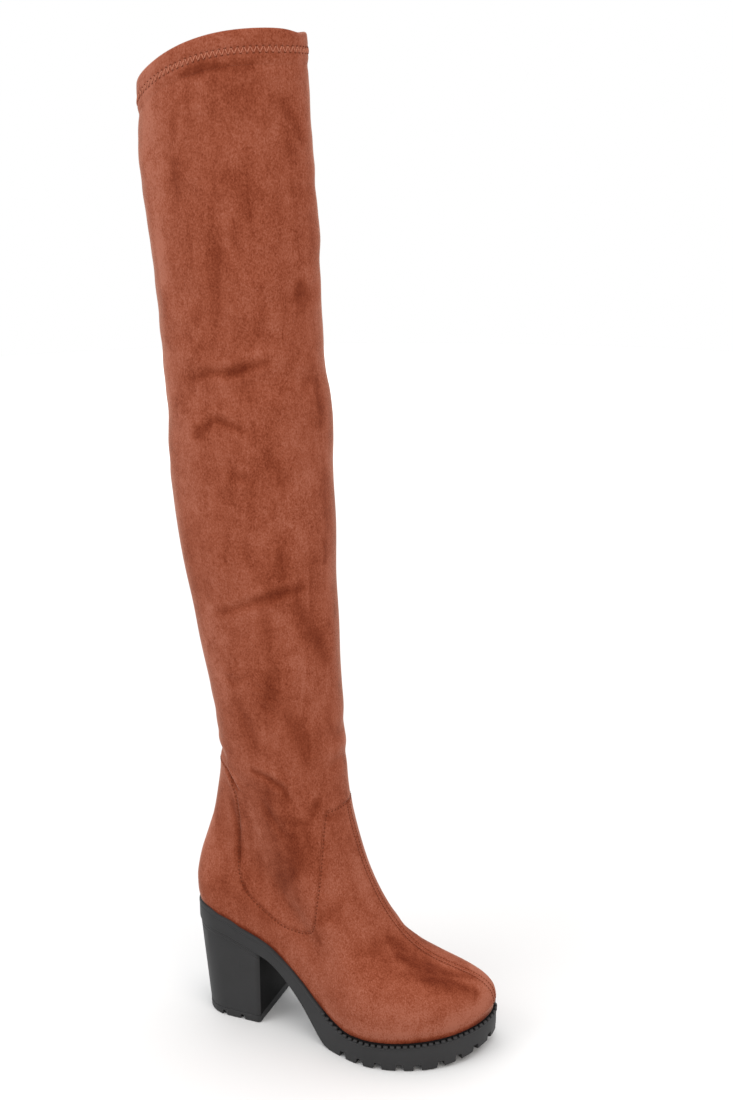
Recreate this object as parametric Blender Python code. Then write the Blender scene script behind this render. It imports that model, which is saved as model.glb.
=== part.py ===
"""A right thigh-high boot on a block heel and a lugged platform sole.

+X points to the toe, +Y to the inner side of the leg and +Z up. The tables are in millimetres:
x from the back of the heel seat, y from the heel's axis, z from the floor. The part's origin is on
the floor under the heel, HEEL_CENTRE in front of the heel's back.

The leather-like skin is one surface. Its rings run round the boot, from the feather line, where it
meets the sole, up to the collar. The upper, the shaft and the top band are cut from that surface.
"""
import math

import bpy
from mathutils import Vector

MM = 0.001
GAP = 0.3

# Sole unit
SOLE_LENGTH = 241.0
TOE_SWING = 18.5
HEEL_ROUND = 28.0
HEEL_ROUND_POWER = 2.2
HEEL_HALF_WIDTH = 29.5
OUTER_BALL_AT = 160.0
OUTER_BALL = 49.5
OUTER_TOE_POWER = 1.85
INNER_BALL_AT = 172.0
INNER_BALL = 43.5
INNER_TOE_POWER = 2.9
SOLE_STEPS = 22
EDGE_CHAMFER = 1.2

# Welt
WELT_START = 138.0
WELT_THICKNESS = 2.6
WELT_WIDTH = 9.0
WELT_PROUD = 0.6
SEAT_TOOL_MARGIN = 4.5

# Lugs
LUG_PITCH = 16.0
LUG_GROOVE_WIDTH = 4.0
LUG_GROOVE_LENGTH = 12.5
LUG_GROOVE_DEPTH = 5.5
BAR_GROOVES_AT = (142.0, 157.0, 181.0, 196.0)
BAR_HALF_LENGTH = 16.0

# Heel
HEEL_CENTRE = 38.0
HEEL_BREAST = 61.5
HEEL_BASE_BACK = 8.3
HEEL_BASE_HALF_WIDTH = 28.5
HEEL_INSET = 0.8
HEEL_TIP_THICKNESS = 6.5
HEEL_STEPS = 8
HEEL_NOTCHES_AT = (14.0, 30.0, 46.0)
HEEL_NOTCH_WIDTH = 3.4
HEEL_NOTCH_DEPTH = 9.0
HEEL_NOTCH_HEIGHT = 4.2

# Skin
UPPER_WALL = 2.0
SHAFT_WALL = 1.6
BAND_WALL = 2.8
BAND_PROUD = 0.6
INSOLE_THICKNESS = 2.5
OVAL_POWER = 2.1
COLLAR_BOW = 2.6
SEAM_TOOL_HALF_SPAN = 80.0
SEAM_TOOL_X = (-120.0, 400.0)
SEAM_TOOL_Z = (-100.0, 1000.0)

# Colours, roughness
SUEDE = (0.335, 0.098, 0.056, 1.0)
RUBBER = (0.046, 0.046, 0.048, 1.0)
LINING = (0.27, 0.13, 0.09, 1.0)

# from_heel, half width of the outer side, half width of the inner side
SOLE_SIDES = (
    (28.0, 29.5, 29.5),
    (50.0, 29.6, 28.8),
    (75.0, 29.8, 26.6),
    (95.0, 31.5, 25.6),
    (115.0, 36.5, 27.6),
    (135.0, 44.0, 34.0),
    (150.0, 48.3, 39.4),
    (160.0, 49.5, 42.0),
    (172.0, 49.5, 43.5),
)

# from_heel, top (the feather line), underside
SOLE_HEIGHTS = (
    (0.0, 93.5, 79.0),
    (15.0, 92.5, 78.0),
    (30.0, 89.5, 74.8),
    (46.0, 84.5, 69.0),
    (60.0, 79.0, 63.0),
    (70.0, 74.0, 57.8),
    (80.0, 66.3, 49.5),
    (90.0, 56.5, 39.0),
    (100.0, 47.2, 26.8),
    (110.0, 39.3, 13.5),
    (117.0, 35.0, 4.8),
    (122.0, 32.2, 1.0),
    (127.0, 29.8, 0.0),
    (142.0, 25.0, 0.0),
    (156.0, 23.6, 0.0),
    (170.0, 24.0, 0.0),
    (200.0, 26.2, 0.0),
    (212.0, 27.2, 0.8),
    (225.0, 28.6, 3.0),
    (241.0, 30.6, 7.5),
)

# back_x, back_z, front_x, front_z, half_width, sole_share, arch_share
FOOT_RINGS = (
    (1.2, 93.5, 238.8, 30.6, 43.4, 1.00, 1.00),
    (-0.8, 104.0, 240.8, 36.6, 44.4, 1.00, 0.97),
    (-1.0, 114.0, 239.6, 43.6, 44.2, 1.00, 0.93),
    (0.5, 125.0, 234.8, 51.0, 42.4, 0.97, 0.86),
    (3.0, 136.0, 225.0, 57.8, 39.2, 0.93, 0.78),
    (6.5, 147.0, 211.0, 63.0, 35.8, 0.87, 0.68),
    (10.0, 158.0, 194.5, 68.5, 33.4, 0.80, 0.58),
    (13.5, 169.0, 178.0, 77.5, 32.6, 0.72, 0.48),
    (16.0, 180.0, 162.6, 92.5, 32.7, 0.62, 0.38),
    (18.0, 190.0, 149.8, 112.5, 33.1, 0.50, 0.27),
    (20.0, 200.0, 139.2, 136.5, 34.1, 0.37, 0.17),
    (22.0, 211.0, 130.5, 166.0, 35.4, 0.22, 0.08),
    (23.3, 221.0, 124.5, 195.0, 37.0, 0.10, 0.02),
)

# front_z, back_drop, back_x, front_x, half_width
LEG_RINGS = (
    (231.0, 0.0, 24.1, 121.3, 39.0),
    (268.0, 0.0, 18.7, 118.9, 41.1),
    (304.0, 0.0, 12.5, 117.3, 43.2),
    (345.0, 0.0, 4.4, 115.3, 45.6),
    (385.0, 0.0, -3.0, 113.8, 47.8),
    (420.0, 0.0, -7.8, 113.2, 48.5),
    (455.0, 0.0, -10.4, 111.4, 48.4),
    (492.0, 1.0, -10.3, 111.2, 47.2),
    (532.0, 3.0, -13.4, 105.9, 45.2),
    (572.0, 7.0, -16.2, 104.3, 44.9),
    (615.0, 13.0, -19.6, 103.4, 43.8),
    (657.0, 21.0, -24.4, 100.6, 42.0),
    (695.0, 29.0, -26.4, 98.4, 39.8),
    (726.0, 34.6, -26.5, 97.3, 38.1),
    (748.0, 35.0, -26.0, 97.0, 37.0),
)
HEM_RING = len(FOOT_RINGS) + 13

# side outline of the seam between the upper and the shaft, from the back seam to the front: x, z
PANEL_SEAM = (
    (-20.0, 221.0),
    (27.0, 220.6),
    (35.0, 219.0),
    (40.0, 213.8),
    (43.4, 204.0),
    (45.8, 193.0),
    (46.2, 180.0),
    (45.2, 164.0),
    (44.3, 148.0),
    (44.5, 135.0),
    (46.8, 125.0),
    (51.5, 115.8),
    (66.0, 103.4),
    (77.0, 96.4),
    (87.0, 92.0),
    (98.0, 90.8),
    (105.8, 93.2),
    (110.2, 99.8),
    (113.0, 120.0),
    (114.8, 144.0),
    (115.4, 168.0),
    (116.2, 187.0),
    (119.0, 193.2),
    (160.0, 193.2),
)


def smooth_value(rows, column, at, key=0):
    """A column of a table at a place between its rows, on a curve that never overshoots them."""
    last = len(rows) - 1
    places = [row[key] for row in rows]
    values = [row[column] for row in rows]
    if at <= places[0]:
        return values[0]
    if at >= places[last]:
        return values[last]
    row = next(i for i in range(last) if at <= places[i + 1])
    slopes = [(values[i + 1] - values[i]) / (places[i + 1] - places[i]) for i in range(last)]

    def tangent(i):
        if i in (0, last):
            return slopes[min(i, last - 1)]
        before, after = slopes[i - 1], slopes[i]
        if before * after <= 0:
            return 0.0
        return 2 * before * after / (before + after)

    span = places[row + 1] - places[row]
    t = (at - places[row]) / span
    rise = (2 * t**3 - 3 * t**2 + 1) * values[row] + (3 * t**2 - 2 * t**3) * values[row + 1]
    bend = (t**3 - 2 * t**2 + t) * tangent(row) + (t**3 - t**2) * tangent(row + 1)
    return rise + bend * span


def quarter(t, power):
    """Height of a quarter superellipse that starts level at t = 0 and ends upright at t = 1."""
    return max(0.0, 1 - min(1.0, max(0.0, t)) ** power) ** (1 / power)


def stations():
    """Places along the sole where every piece on it has its corners, closer at heel and toe."""
    return [SOLE_LENGTH * (1 - math.cos(math.pi * i / SOLE_STEPS)) / 2 for i in range(SOLE_STEPS + 1)]


def on_facets(column, x):
    """A height of the sole, straight between stations, so that pieces meet face to face."""
    places = STATIONS
    i = min(SOLE_STEPS - 1, max(0, sum(place <= x for place in places) - 1))
    low, high = (smooth_value(SOLE_HEIGHTS, column, places[i + k]) for k in (0, 1))
    return low + (high - low) * (x - places[i]) / (places[i + 1] - places[i])


def sole_top(x):
    return on_facets(1, x)


def sole_underside(x):
    return on_facets(2, x)


STATIONS = stations()


def outer_side(x):
    """y of the sole's outer edge, which bulges at the ball and turns in to the toe."""
    if x < HEEL_ROUND:
        return -HEEL_HALF_WIDTH * quarter((HEEL_ROUND - x) / HEEL_ROUND, HEEL_ROUND_POWER)
    if x < OUTER_BALL_AT:
        return -smooth_value(SOLE_SIDES, 1, x)
    t = (x - OUTER_BALL_AT) / (SOLE_LENGTH - OUTER_BALL_AT)
    return TOE_SWING - (TOE_SWING + OUTER_BALL) * quarter(t, OUTER_TOE_POWER)


def inner_side(x):
    """y of the sole's inner edge, which is hollow at the waist and straighter at the toe."""
    if x < HEEL_ROUND:
        return HEEL_HALF_WIDTH * quarter((HEEL_ROUND - x) / HEEL_ROUND, HEEL_ROUND_POWER)
    if x < INNER_BALL_AT:
        return smooth_value(SOLE_SIDES, 2, x)
    t = (x - INNER_BALL_AT) / (SOLE_LENGTH - INNER_BALL_AT)
    return TOE_SWING + (INNER_BALL - TOE_SWING) * quarter(t, INNER_TOE_POWER)


def loop_of(sides, steps):
    """A closed outline: up the outer side from the heel to the toe and back down the inner side."""
    shares = [(1 - math.cos(math.pi * i / steps)) / 2 for i in range(steps + 1)]
    outer = [sides(share, -1) for share in shares]
    inner = [sides(share, 1) for share in shares[1:-1]]
    return outer + inner[::-1]


def sole_side(share, side):
    x = SOLE_LENGTH * share
    return (x, outer_side(x) if side < 0 else inner_side(x))


def inset_loop(loop, inset):
    """The outline moved inwards by a width."""
    moved = []
    count = len(loop)
    for i, (x, y) in enumerate(loop):
        before, after = loop[i - 1], loop[(i + 1) % count]
        along = Vector((after[0] - before[0], after[1] - before[1])).normalized()
        moved.append((x - along.y * inset, y + along.x * inset))
    return moved


def sole_outline(inset=0.0, steps=SOLE_STEPS):
    return inset_loop(loop_of(sole_side, steps), inset)


def along_stations(loop):
    """The same outline with its corners moved along it to the sole's stations."""
    half = len(loop) // 2
    outer = loop[: half + 1]
    inner = loop[:1] + loop[:half - 1:-1]

    def side_at(chain, x):
        i = next(k for k in range(1, len(chain)) if chain[k][0] >= x)
        (x0, y0), (x1, y1) = chain[i - 1], chain[i]
        return (x, y0 + (y1 - y0) * (x - x0) / (x1 - x0))

    inside = [x for x in STATIONS if loop[0][0] + GAP < x < loop[half][0] - GAP]
    points = [loop[0]] + [side_at(outer, x) for x in inside] + [loop[half]]
    return points + [side_at(inner, x) for x in reversed(inside)]


def foot_ring(row):
    back_x, back_z, front_x, front_z, half_width, sole_share, arch_share = row
    return {
        "back": (back_x, back_z),
        "front": (front_x, front_z),
        "half_width": half_width,
        "sole_share": sole_share,
        "arch_share": arch_share,
        "bow": 1.0,
    }


def leg_ring(row):
    front_z, back_drop, back_x, front_x, half_width = row
    return {
        "back": (back_x, front_z - back_drop),
        "front": (front_x, front_z),
        "half_width": half_width,
        "sole_share": 0.0,
        "arch_share": 0.0,
        "bow": COLLAR_BOW,
    }


def ring_rows():
    """Every ring of the skin as one numbered row of plain values."""
    rows = []
    for ring in [foot_ring(row) for row in FOOT_RINGS] + [leg_ring(row) for row in LEG_RINGS]:
        numbers = (*ring["back"], *ring["front"], ring["half_width"], ring["sole_share"])
        rows.append((float(len(rows)), *numbers, ring["arch_share"], ring["bow"]))
    return rows


RINGS = ring_rows()


def arch_dip(share, x):
    """How far the feather line lies below a straight line from heel to toe."""
    back_z, front_z = FOOT_RINGS[0][1], FOOT_RINGS[0][3]
    return sole_top(x) - back_z - (front_z - back_z) * share


def ring_point(level, share, side):
    """A point of the skin: share runs from the back to the front, side is -1 outer or 1 inner."""
    back_x, back_z, front_x, front_z, half_width, sole_share, arch_share, bow = (
        smooth_value(RINGS, column, level) for column in range(1, 9)
    )
    sole_half = (OUTER_BALL + INNER_BALL) / 2
    x_on_sole = SOLE_LENGTH * share
    on_sole = (outer_side(x_on_sole) if side < 0 else inner_side(x_on_sole)) / sole_half
    on_oval = side * quarter(abs(2 * share - 1), OVAL_POWER)
    y = half_width * (sole_share * on_sole + (1 - sole_share) * on_oval)
    rise = 1 - (1 - share) ** bow
    x = back_x + (front_x - back_x) * share
    z = back_z + (front_z - back_z) * rise + arch_share * arch_dip(share, x_on_sole)
    return Vector((x, y, z))


def ring(level):
    return loop_of(lambda share, side: ring_point(level, share, side), SOLE_STEPS)


def feather_ring():
    """The lowest ring, which lies on the sole's top all the way round."""
    return [Vector((p.x, p.y, sole_top(p.x))) for p in ring(0)]


def outward(rings, level, i):
    """The skin's outward normal at a point of a stack of rings."""
    count = len(rings[level])
    below = rings[max(level - 1, 0)][i]
    above = rings[min(level + 1, len(rings) - 1)][i]
    around = rings[level][(i + 1) % count] - rings[level][i - 1]
    return around.cross(above - below).normalized()


def offset_rings(rings, distances):
    """The stack of rings moved along its normals, a distance for each, with level rims kept level."""
    moved = []
    for level, points in enumerate(rings):
        rim = level in (0, len(rings) - 1)
        line = []
        for i, point in enumerate(points):
            normal = outward(rings, level, i)
            if rim:
                normal = Vector((normal.x, normal.y, 0)).normalized()
            line.append(point + normal * distances[level])
        moved.append(line)
    return moved


def clear_scene():
    """Remove whatever the scene holds."""
    for thing in list(bpy.data.objects):
        bpy.data.objects.remove(thing, do_unlink=True)


def material(name, colour, roughness):
    made = bpy.data.materials.new(name)
    made.use_nodes = True
    shader = made.node_tree.nodes["Principled BSDF"]
    shader.inputs["Base Color"].default_value = colour
    shader.inputs["Roughness"].default_value = roughness
    shader.inputs["Metallic"].default_value = 0.0
    return made


def new_object(name, points, faces, finish=None):
    """A mesh object from points in millimetres, placed with the heel's centre at the origin."""
    mesh = bpy.data.meshes.new(name)
    placed = [((p[0] - HEEL_CENTRE) * MM, p[1] * MM, p[2] * MM) for p in points]
    mesh.from_pydata(placed, [], faces)
    mesh.validate()
    thing = bpy.data.objects.new(name, mesh)
    bpy.context.scene.collection.objects.link(thing)
    if finish:
        mesh.materials.append(finish)
        mesh.shade_smooth()
        mesh.set_sharp_from_angle(angle=math.radians(40))
    return thing


def tube_faces(rows, count, first=0, flip=False):
    """Quads between stacked closed loops of the same count, facing out when the loops turn left."""
    faces = []
    for row in range(rows - 1):
        for i in range(count):
            j = (i + 1) % count
            low, high = first + row * count, first + (row + 1) * count
            face = (low + i, low + j, high + j, high + i)
            faces.append(face[::-1] if flip else face)
    return faces


def ladder_faces(count, first, flip=False):
    """A cap across a closed loop, as rungs between its outer and its inner side."""
    steps = count // 2
    faces = []
    for i in range(steps):
        outer = (first + i, first + i + 1)
        inner = (first + (count - i) % count, first + (count - i - 1) % count)
        corners = [outer[0], outer[1], inner[1], inner[0]]
        face = tuple(dict.fromkeys(corners))
        faces.append(face[::-1] if flip else face)
    return faces


def solid_from_loops(name, loops, finish=None):
    """A solid between stacked closed loops, lowest first, capped at both ends."""
    count = len(loops[0])
    points = [point for loop in loops for point in loop]
    faces = tube_faces(len(loops), count)
    faces += ladder_faces(count, 0, flip=True)
    faces += ladder_faces(count, (len(loops) - 1) * count)
    return new_object(name, points, faces, finish)


def shell_from_rings(name, outer, inner, finish=None):
    """A wall between two stacks of rings, open at its top and its foot."""
    count, rows = len(outer[0]), len(outer)
    points = [point for loop in outer + inner for point in loop]
    shift = rows * count
    faces = tube_faces(rows, count)
    faces += tube_faces(rows, count, first=shift, flip=True)
    for i in range(count):
        j = (i + 1) % count
        faces.append((j, i, shift + i, shift + j))
        top = (rows - 1) * count
        faces.append((top + i, top + j, shift + top + j, shift + top + i))
    return new_object(name, points, faces, finish)


def cutter(thing):
    thing.hide_render = True
    thing.display_type = "WIRE"
    return thing


def subtract(thing, tool):
    """Cut a hidden tool out of a solid."""
    cut = thing.modifiers.new(tool.name, "BOOLEAN")
    cut.operation = "DIFFERENCE"
    cut.solver = "EXACT"
    cut.object = cutter(tool)


def box_points(centre, along, half_length, half_width, low, high, flare=0.0):
    """Eight corners of an upright box that may be wider at its foot."""
    across = Vector((-along.y, along.x))
    corners = []
    for z, width in ((low, half_width + flare), (high, half_width)):
        for a, b in ((-1, -1), (1, -1), (1, 1), (-1, 1)):
            spot = centre + along * (a * half_length) + across * (b * width)
            corners.append((spot.x, spot.y, z))
    return corners


def boxes(name, all_corners):
    """One tool made of separate boxes."""
    points, faces = [], []
    for corners in all_corners:
        n = len(points)
        points += corners
        faces.append((n + 3, n + 2, n + 1, n))
        faces.append((n + 4, n + 5, n + 6, n + 7))
        for i in range(4):
            j = (i + 1) % 4
            faces.append((n + i, n + j, n + 4 + j, n + 4 + i))
    return new_object(name, points, faces)


def lug_places():
    """Places and outward directions of the side grooves, a pitch apart round the forefoot."""
    loop = sole_outline(steps=120)
    half = len(loop) // 2
    order = list(range(half + 1)) + list(range(half + 1, len(loop)))
    start = next(i for i in order if loop[i][0] >= WELT_START)
    stop = next(i for i in reversed(order) if loop[i][0] >= WELT_START)
    places, travelled = [], LUG_PITCH
    for i in range(start, stop):
        here, there = Vector(loop[i]), Vector(loop[i + 1])
        travelled += (there - here).length
        if travelled >= LUG_PITCH:
            travelled -= LUG_PITCH
            along = (there - here).normalized()
            places.append((here, Vector((along.y, -along.x))))
    return places


def lug_cutter():
    """Grooves between the lugs: short ones in from the edge and bars across the middle."""
    cuts = []
    for spot, out in lug_places():
        centre = spot - out * (LUG_GROOVE_LENGTH / 2 - 2.0)
        top = sole_underside(spot.x) + LUG_GROOVE_DEPTH
        half = LUG_GROOVE_WIDTH / 2
        cuts.append(box_points(centre, out, LUG_GROOVE_LENGTH / 2, half, -2.0, top, 0.6))
    for x in BAR_GROOVES_AT:
        middle = Vector((x, (outer_side(x) + inner_side(x)) / 2))
        length = min(BAR_HALF_LENGTH, (inner_side(x) - outer_side(x)) / 2 - LUG_GROOVE_LENGTH)
        top = sole_underside(x) + LUG_GROOVE_DEPTH - 1.5
        cuts.append(box_points(middle, Vector((0, 1)), length, 2.0, -2.0, top, 0.6))
    return boxes("lug_grooves", cuts)


def band_on_sole(name, outset, inset, low, high, longer=0.0, finish=None):
    """A strip round the forefoot that follows the sole's top: low and high are heights above it."""
    outer, inner = sole_outline(-outset), sole_outline(inset)
    chosen = [i for i, p in enumerate(sole_outline()) if p[0] >= WELT_START]
    points, faces = [], []
    for i in chosen:
        back = longer if i in (chosen[0], chosen[-1]) else 0.0
        for (x, y), height in ((outer[i], low), (outer[i], high), (inner[i], high), (inner[i], low)):
            points.append((x - back, y, sole_top(x) + height))
    for k in range(len(chosen) - 1):
        for corner in range(4):
            turn = (corner + 1) % 4
            faces.append((4 * k + turn, 4 * k + corner, 4 * k + 4 + corner, 4 * k + 4 + turn))
    last = 4 * (len(chosen) - 1)
    faces.append((0, 1, 2, 3))
    faces.append((last + 3, last + 2, last + 1, last))
    return new_object(name, points, faces, finish)


def make_outsole(finish):
    """Platform, arch strip and heel seat in one moulding, with lug grooves and a seat for the welt."""

    def loop(inset, height):
        return [(x, y, height(x)) for x, y in sole_outline(inset)]

    loops = [
        loop(EDGE_CHAMFER, sole_underside),
        loop(0.0, lambda x: sole_underside(x) + EDGE_CHAMFER),
        loop(0.0, lambda x: sole_top(x) - GAP),
    ]
    sole = solid_from_loops("outsole", loops, finish)
    subtract(sole, lug_cutter())
    low = -WELT_THICKNESS - 2 * GAP
    seat = band_on_sole("welt_seat", SEAT_TOOL_MARGIN, WELT_WIDTH + GAP, low, SEAT_TOOL_MARGIN, GAP)
    subtract(sole, seat)
    return sole


def make_welt(finish):
    """Flat strip between the forefoot and the platform, standing a little proud of the sole's edge."""
    low = -WELT_THICKNESS - GAP
    return band_on_sole("welt", WELT_PROUD, WELT_WIDTH, low, -GAP, finish=finish)


def heel_loop(share_down, height):
    """Outline of the heel between its seat, at 0, and its base, at 1: rounded back, flat breast."""
    back = HEEL_INSET + (HEEL_BASE_BACK - HEEL_INSET) * share_down
    half = HEEL_HALF_WIDTH - HEEL_INSET
    half += (HEEL_BASE_HALF_WIDTH - half) * share_down

    def side_point(share, side):
        x_seat = HEEL_BREAST * share
        y_share = abs(outer_side(x_seat)) / HEEL_HALF_WIDTH
        x = back + (HEEL_BREAST - back) * share
        return (x, side * half * y_share, height(x))

    shares = [(1 - math.cos(math.pi / 2 * i / HEEL_STEPS)) for i in range(HEEL_STEPS + 1)]
    points = [side_point(share, -1) for share in shares]
    points += [side_point(share, 1) for share in shares[:0:-1]]
    return points


def heel_solid(name, loops, finish):
    """A solid between two heel outlines, with the breast as its own flat side."""
    count = len(loops[0])
    points = loops[0] + loops[1]
    faces = tube_faces(2, count)
    for first, flip in ((0, True), (count, False)):
        rungs = []
        for i in range(HEEL_STEPS):
            outer = (first + i, first + i + 1)
            inner = (first + (count - i) % count, first + count - i - 1)
            rungs.append(tuple(dict.fromkeys((outer[0], outer[1], inner[1], inner[0]))))
        faces += [face[::-1] if flip else face for face in rungs]
    return new_object(name, points, faces, finish)


def make_heel(finish):
    """Block heel: it tapers in at the back and its top follows the underside of the heel seat."""
    seat = heel_loop(0.0, lambda x: sole_underside(x) - GAP)
    base = heel_loop(1.0, lambda x: HEEL_TIP_THICKNESS + GAP)
    return heel_solid("heel", [base, seat], finish)


def make_heel_tip(finish):
    """Flat rubber top piece under the heel, with notches in its sides."""
    lower = heel_loop(1.0, lambda x: 0.0)
    higher = heel_loop(1.0, lambda x: HEEL_TIP_THICKNESS)
    tip = heel_solid("heel_tip", [lower, higher], finish)
    cuts = []
    for x in HEEL_NOTCHES_AT:
        for side in (-1, 1):
            reach = abs(outer_side(x - HEEL_BASE_BACK)) * HEEL_BASE_HALF_WIDTH / HEEL_HALF_WIDTH
            centre = Vector((x, side * (reach - HEEL_NOTCH_DEPTH / 2 + 2.0)))
            out = Vector((-1, side)) if x == HEEL_NOTCHES_AT[0] else Vector((0, side))
            half = HEEL_NOTCH_WIDTH / 2
            length = HEEL_NOTCH_DEPTH / 2 + 1.0
            corners = box_points(centre, out.normalized(), length, half, -2.0, HEEL_NOTCH_HEIGHT)
            cuts.append(corners)
    subtract(tip, boxes("heel_notches", cuts))
    return tip


def make_insole(finish):
    """Thin inner sole that fills the foot of the upper and follows the arch."""
    foot = [(p.x, p.y) for p in feather_ring()]
    outline = along_stations(inset_loop(foot, UPPER_WALL + GAP))
    low = [(x, y, sole_top(x)) for x, y in outline]
    high = [(x, y, sole_top(x) + INSOLE_THICKNESS) for x, y in outline]
    return solid_from_loops("insole", [low, high], finish)


def wall_at(level):
    share = min(1.0, max(0.0, (level - 9) / 5))
    return UPPER_WALL + (SHAFT_WALL - UPPER_WALL) * share


def skin_levels(first, last, step):
    count = max(1, round((last - first) / step))
    return [first + (last - first) * i / count for i in range(count + 1)]


def skin_shell(name, levels, finish):
    """The whole skin between two levels as one hollow wall."""
    outer = [ring(level) if level > 0 else feather_ring() for level in levels]
    inner = offset_rings(outer, [-wall_at(level) for level in levels])
    return shell_from_rings(name, outer, inner, finish)


def seam_prism(name, side):
    """A prism right through the boot: all that lies above the panel seam for 1, below it for -1."""
    path = [Vector(p) for p in PANEL_SEAM]
    moved = []
    for i, point in enumerate(path):
        before, after = path[max(i - 1, 0)], path[min(i + 1, len(path) - 1)]
        along = (after - before).normalized()
        moved.append(point - Vector((-along.y, along.x)) * (side * GAP / 2))
    back, front = SEAM_TOOL_X
    far = SEAM_TOOL_Z[1] if side > 0 else SEAM_TOOL_Z[0]
    outline = [Vector((back, moved[0].y))] + moved + [Vector((front, moved[-1].y))]
    outline += [Vector((front, far)), Vector((back, far))]
    if side < 0:
        outline.reverse()
    count = len(outline)
    points = [(p.x, -SEAM_TOOL_HALF_SPAN, p.y) for p in outline]
    points += [(p.x, SEAM_TOOL_HALF_SPAN, p.y) for p in outline]
    faces = [tuple(range(count)), tuple(reversed(range(count, 2 * count)))]
    for i in range(count):
        j = (i + 1) % count
        faces.append((j, i, count + i, count + j))
    return new_object(name, points, faces)


def make_upper(finish):
    """Vamp and counter: the foot's part of the skin, up to the panel seam."""
    upper = skin_shell("upper", skin_levels(0, 13, 0.75), finish)
    subtract(upper, seam_prism("above_panel_seam", 1))
    return upper


def make_shaft(finish):
    """Stretch leg from the side tongues at the ankle up to the hem."""
    foot = skin_levels(2, 13, 0.9)
    leg = skin_levels(13, HEM_RING, 0.7)[1:]
    shaft = skin_shell("shaft", foot + leg, finish)
    subtract(shaft, seam_prism("below_panel_seam", -1))
    return shaft


def make_top_band(finish):
    """Folded hem at the collar, thicker than the shaft and a little proud of it."""
    levels = [HEM_RING, HEM_RING + 0.5, HEM_RING + 1]
    middle = [ring(level) for level in levels]
    for point in middle[0]:
        point.z += GAP
    outer = offset_rings(middle, [BAND_PROUD] * len(levels))
    inner = offset_rings(middle, [BAND_PROUD - BAND_WALL] * len(levels))
    return shell_from_rings("top_band", outer, inner, finish)


def main():
    clear_scene()
    make_outsole(material("outsole_rubber", RUBBER, 0.55))
    make_welt(material("welt_rubber", RUBBER, 0.5))
    make_heel(material("heel_rubber", RUBBER, 0.5))
    make_heel_tip(material("heel_tip_rubber", RUBBER, 0.65))
    make_insole(material("insole_lining", LINING, 0.9))
    make_upper(material("upper_suede", SUEDE, 0.9))
    make_shaft(material("shaft_suede", SUEDE, 0.9))
    make_top_band(material("top_band_suede", SUEDE, 0.9))


main()
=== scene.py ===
"""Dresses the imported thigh-high boot: rust suede, sewn seams, a folded hem and a black rubber sole.

Tables are in millimetres, as on the last: x from the back of the heel seat, y from the heel's axis
with the inner side positive, z from the floor. Angles go round the boot in degrees: 0 at the back
seam, 90 on the outer side, 180 at the front and 270 on the inner side.
"""
import math

import bmesh
import bpy
import numpy as np
from mathutils import Matrix, Vector, noise
from mathutils.bvhtree import BVHTree
from mathutils.kdtree import KDTree


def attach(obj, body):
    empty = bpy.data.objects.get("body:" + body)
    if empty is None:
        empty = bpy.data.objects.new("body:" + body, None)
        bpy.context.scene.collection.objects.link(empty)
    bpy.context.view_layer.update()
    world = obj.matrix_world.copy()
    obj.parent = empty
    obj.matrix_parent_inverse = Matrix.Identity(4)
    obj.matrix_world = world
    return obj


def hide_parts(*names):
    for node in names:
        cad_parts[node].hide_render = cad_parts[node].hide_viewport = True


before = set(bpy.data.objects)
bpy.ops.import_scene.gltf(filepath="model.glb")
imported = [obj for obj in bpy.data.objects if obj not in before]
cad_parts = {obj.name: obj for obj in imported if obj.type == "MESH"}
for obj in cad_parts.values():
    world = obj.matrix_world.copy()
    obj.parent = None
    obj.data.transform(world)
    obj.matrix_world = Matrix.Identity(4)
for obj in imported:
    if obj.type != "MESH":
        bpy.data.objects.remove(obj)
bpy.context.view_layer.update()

MM = 0.001
HEEL_CENTRE = 38.0

# ---------------------------------------------------------------- sizes shared with the solids

SOLE_LENGTH = 241.0
TOE_SWING = 18.5
HEEL_ROUND = 28.0
HEEL_ROUND_POWER = 2.2
HEEL_HALF_WIDTH = 29.5
OUTER_BALL_AT = 160.0
OUTER_BALL = 49.5
OUTER_TOE_POWER = 1.85
INNER_BALL_AT = 172.0
INNER_BALL = 43.5
INNER_TOE_POWER = 2.9
OVAL_POWER = 2.1
COLLAR_BOW = 2.6
JOINT = 0.3
HEEL_SUNK = 0.3

HEEL_BREAST = 61.5
HEEL_BASE_BACK = 8.3
HEEL_BASE_HALF_WIDTH = 28.5
HEEL_INSET = 0.8
HEEL_TIP_THICKNESS = 6.5
HEEL_NOTCHES_AT = (14.0, 30.0, 46.0)
HEEL_NOTCH = (11.0, 3.4, 6.2)
HEEL_NOTCH_FLARE = 0.5
HEEL_NOTCH_MIDDLE = 1.1
HEEL_NOTCH_IN = 2.5
LUG_PITCH = 16.0
LUG_START = 138.0
LUG_GROOVE_DEPTH = 5.5
LUG_GROOVE_LENGTH = 12.5
LUG_GROOVE_WIDTH = 4.6
LUG_GROOVE_FLARE = 1.6
LUG_GROOVE_IN = 4.25
BAR_GROOVES_AT = (142.0, 157.0, 181.0, 196.0)
BAR_GROOVE_REACH = 16.0
BAR_GROOVE_MARGIN = 12.5
BAR_GROOVE_WIDTH = 4.0
BAR_GROOVE_FLARE = 0.6
BAR_SHALLOWER = 1.5
CUT_BELOW = 2.0
WELT_START = 118.0

# from_heel, half width of the outer side, half width of the inner side
SOLE_SIDES = (
    (28.0, 29.5, 29.5),
    (50.0, 29.6, 28.8),
    (75.0, 29.8, 26.6),
    (95.0, 31.5, 25.6),
    (115.0, 36.5, 27.6),
    (135.0, 44.0, 34.0),
    (150.0, 48.3, 39.4),
    (160.0, 49.5, 42.0),
    (172.0, 49.5, 43.5),
)

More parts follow.
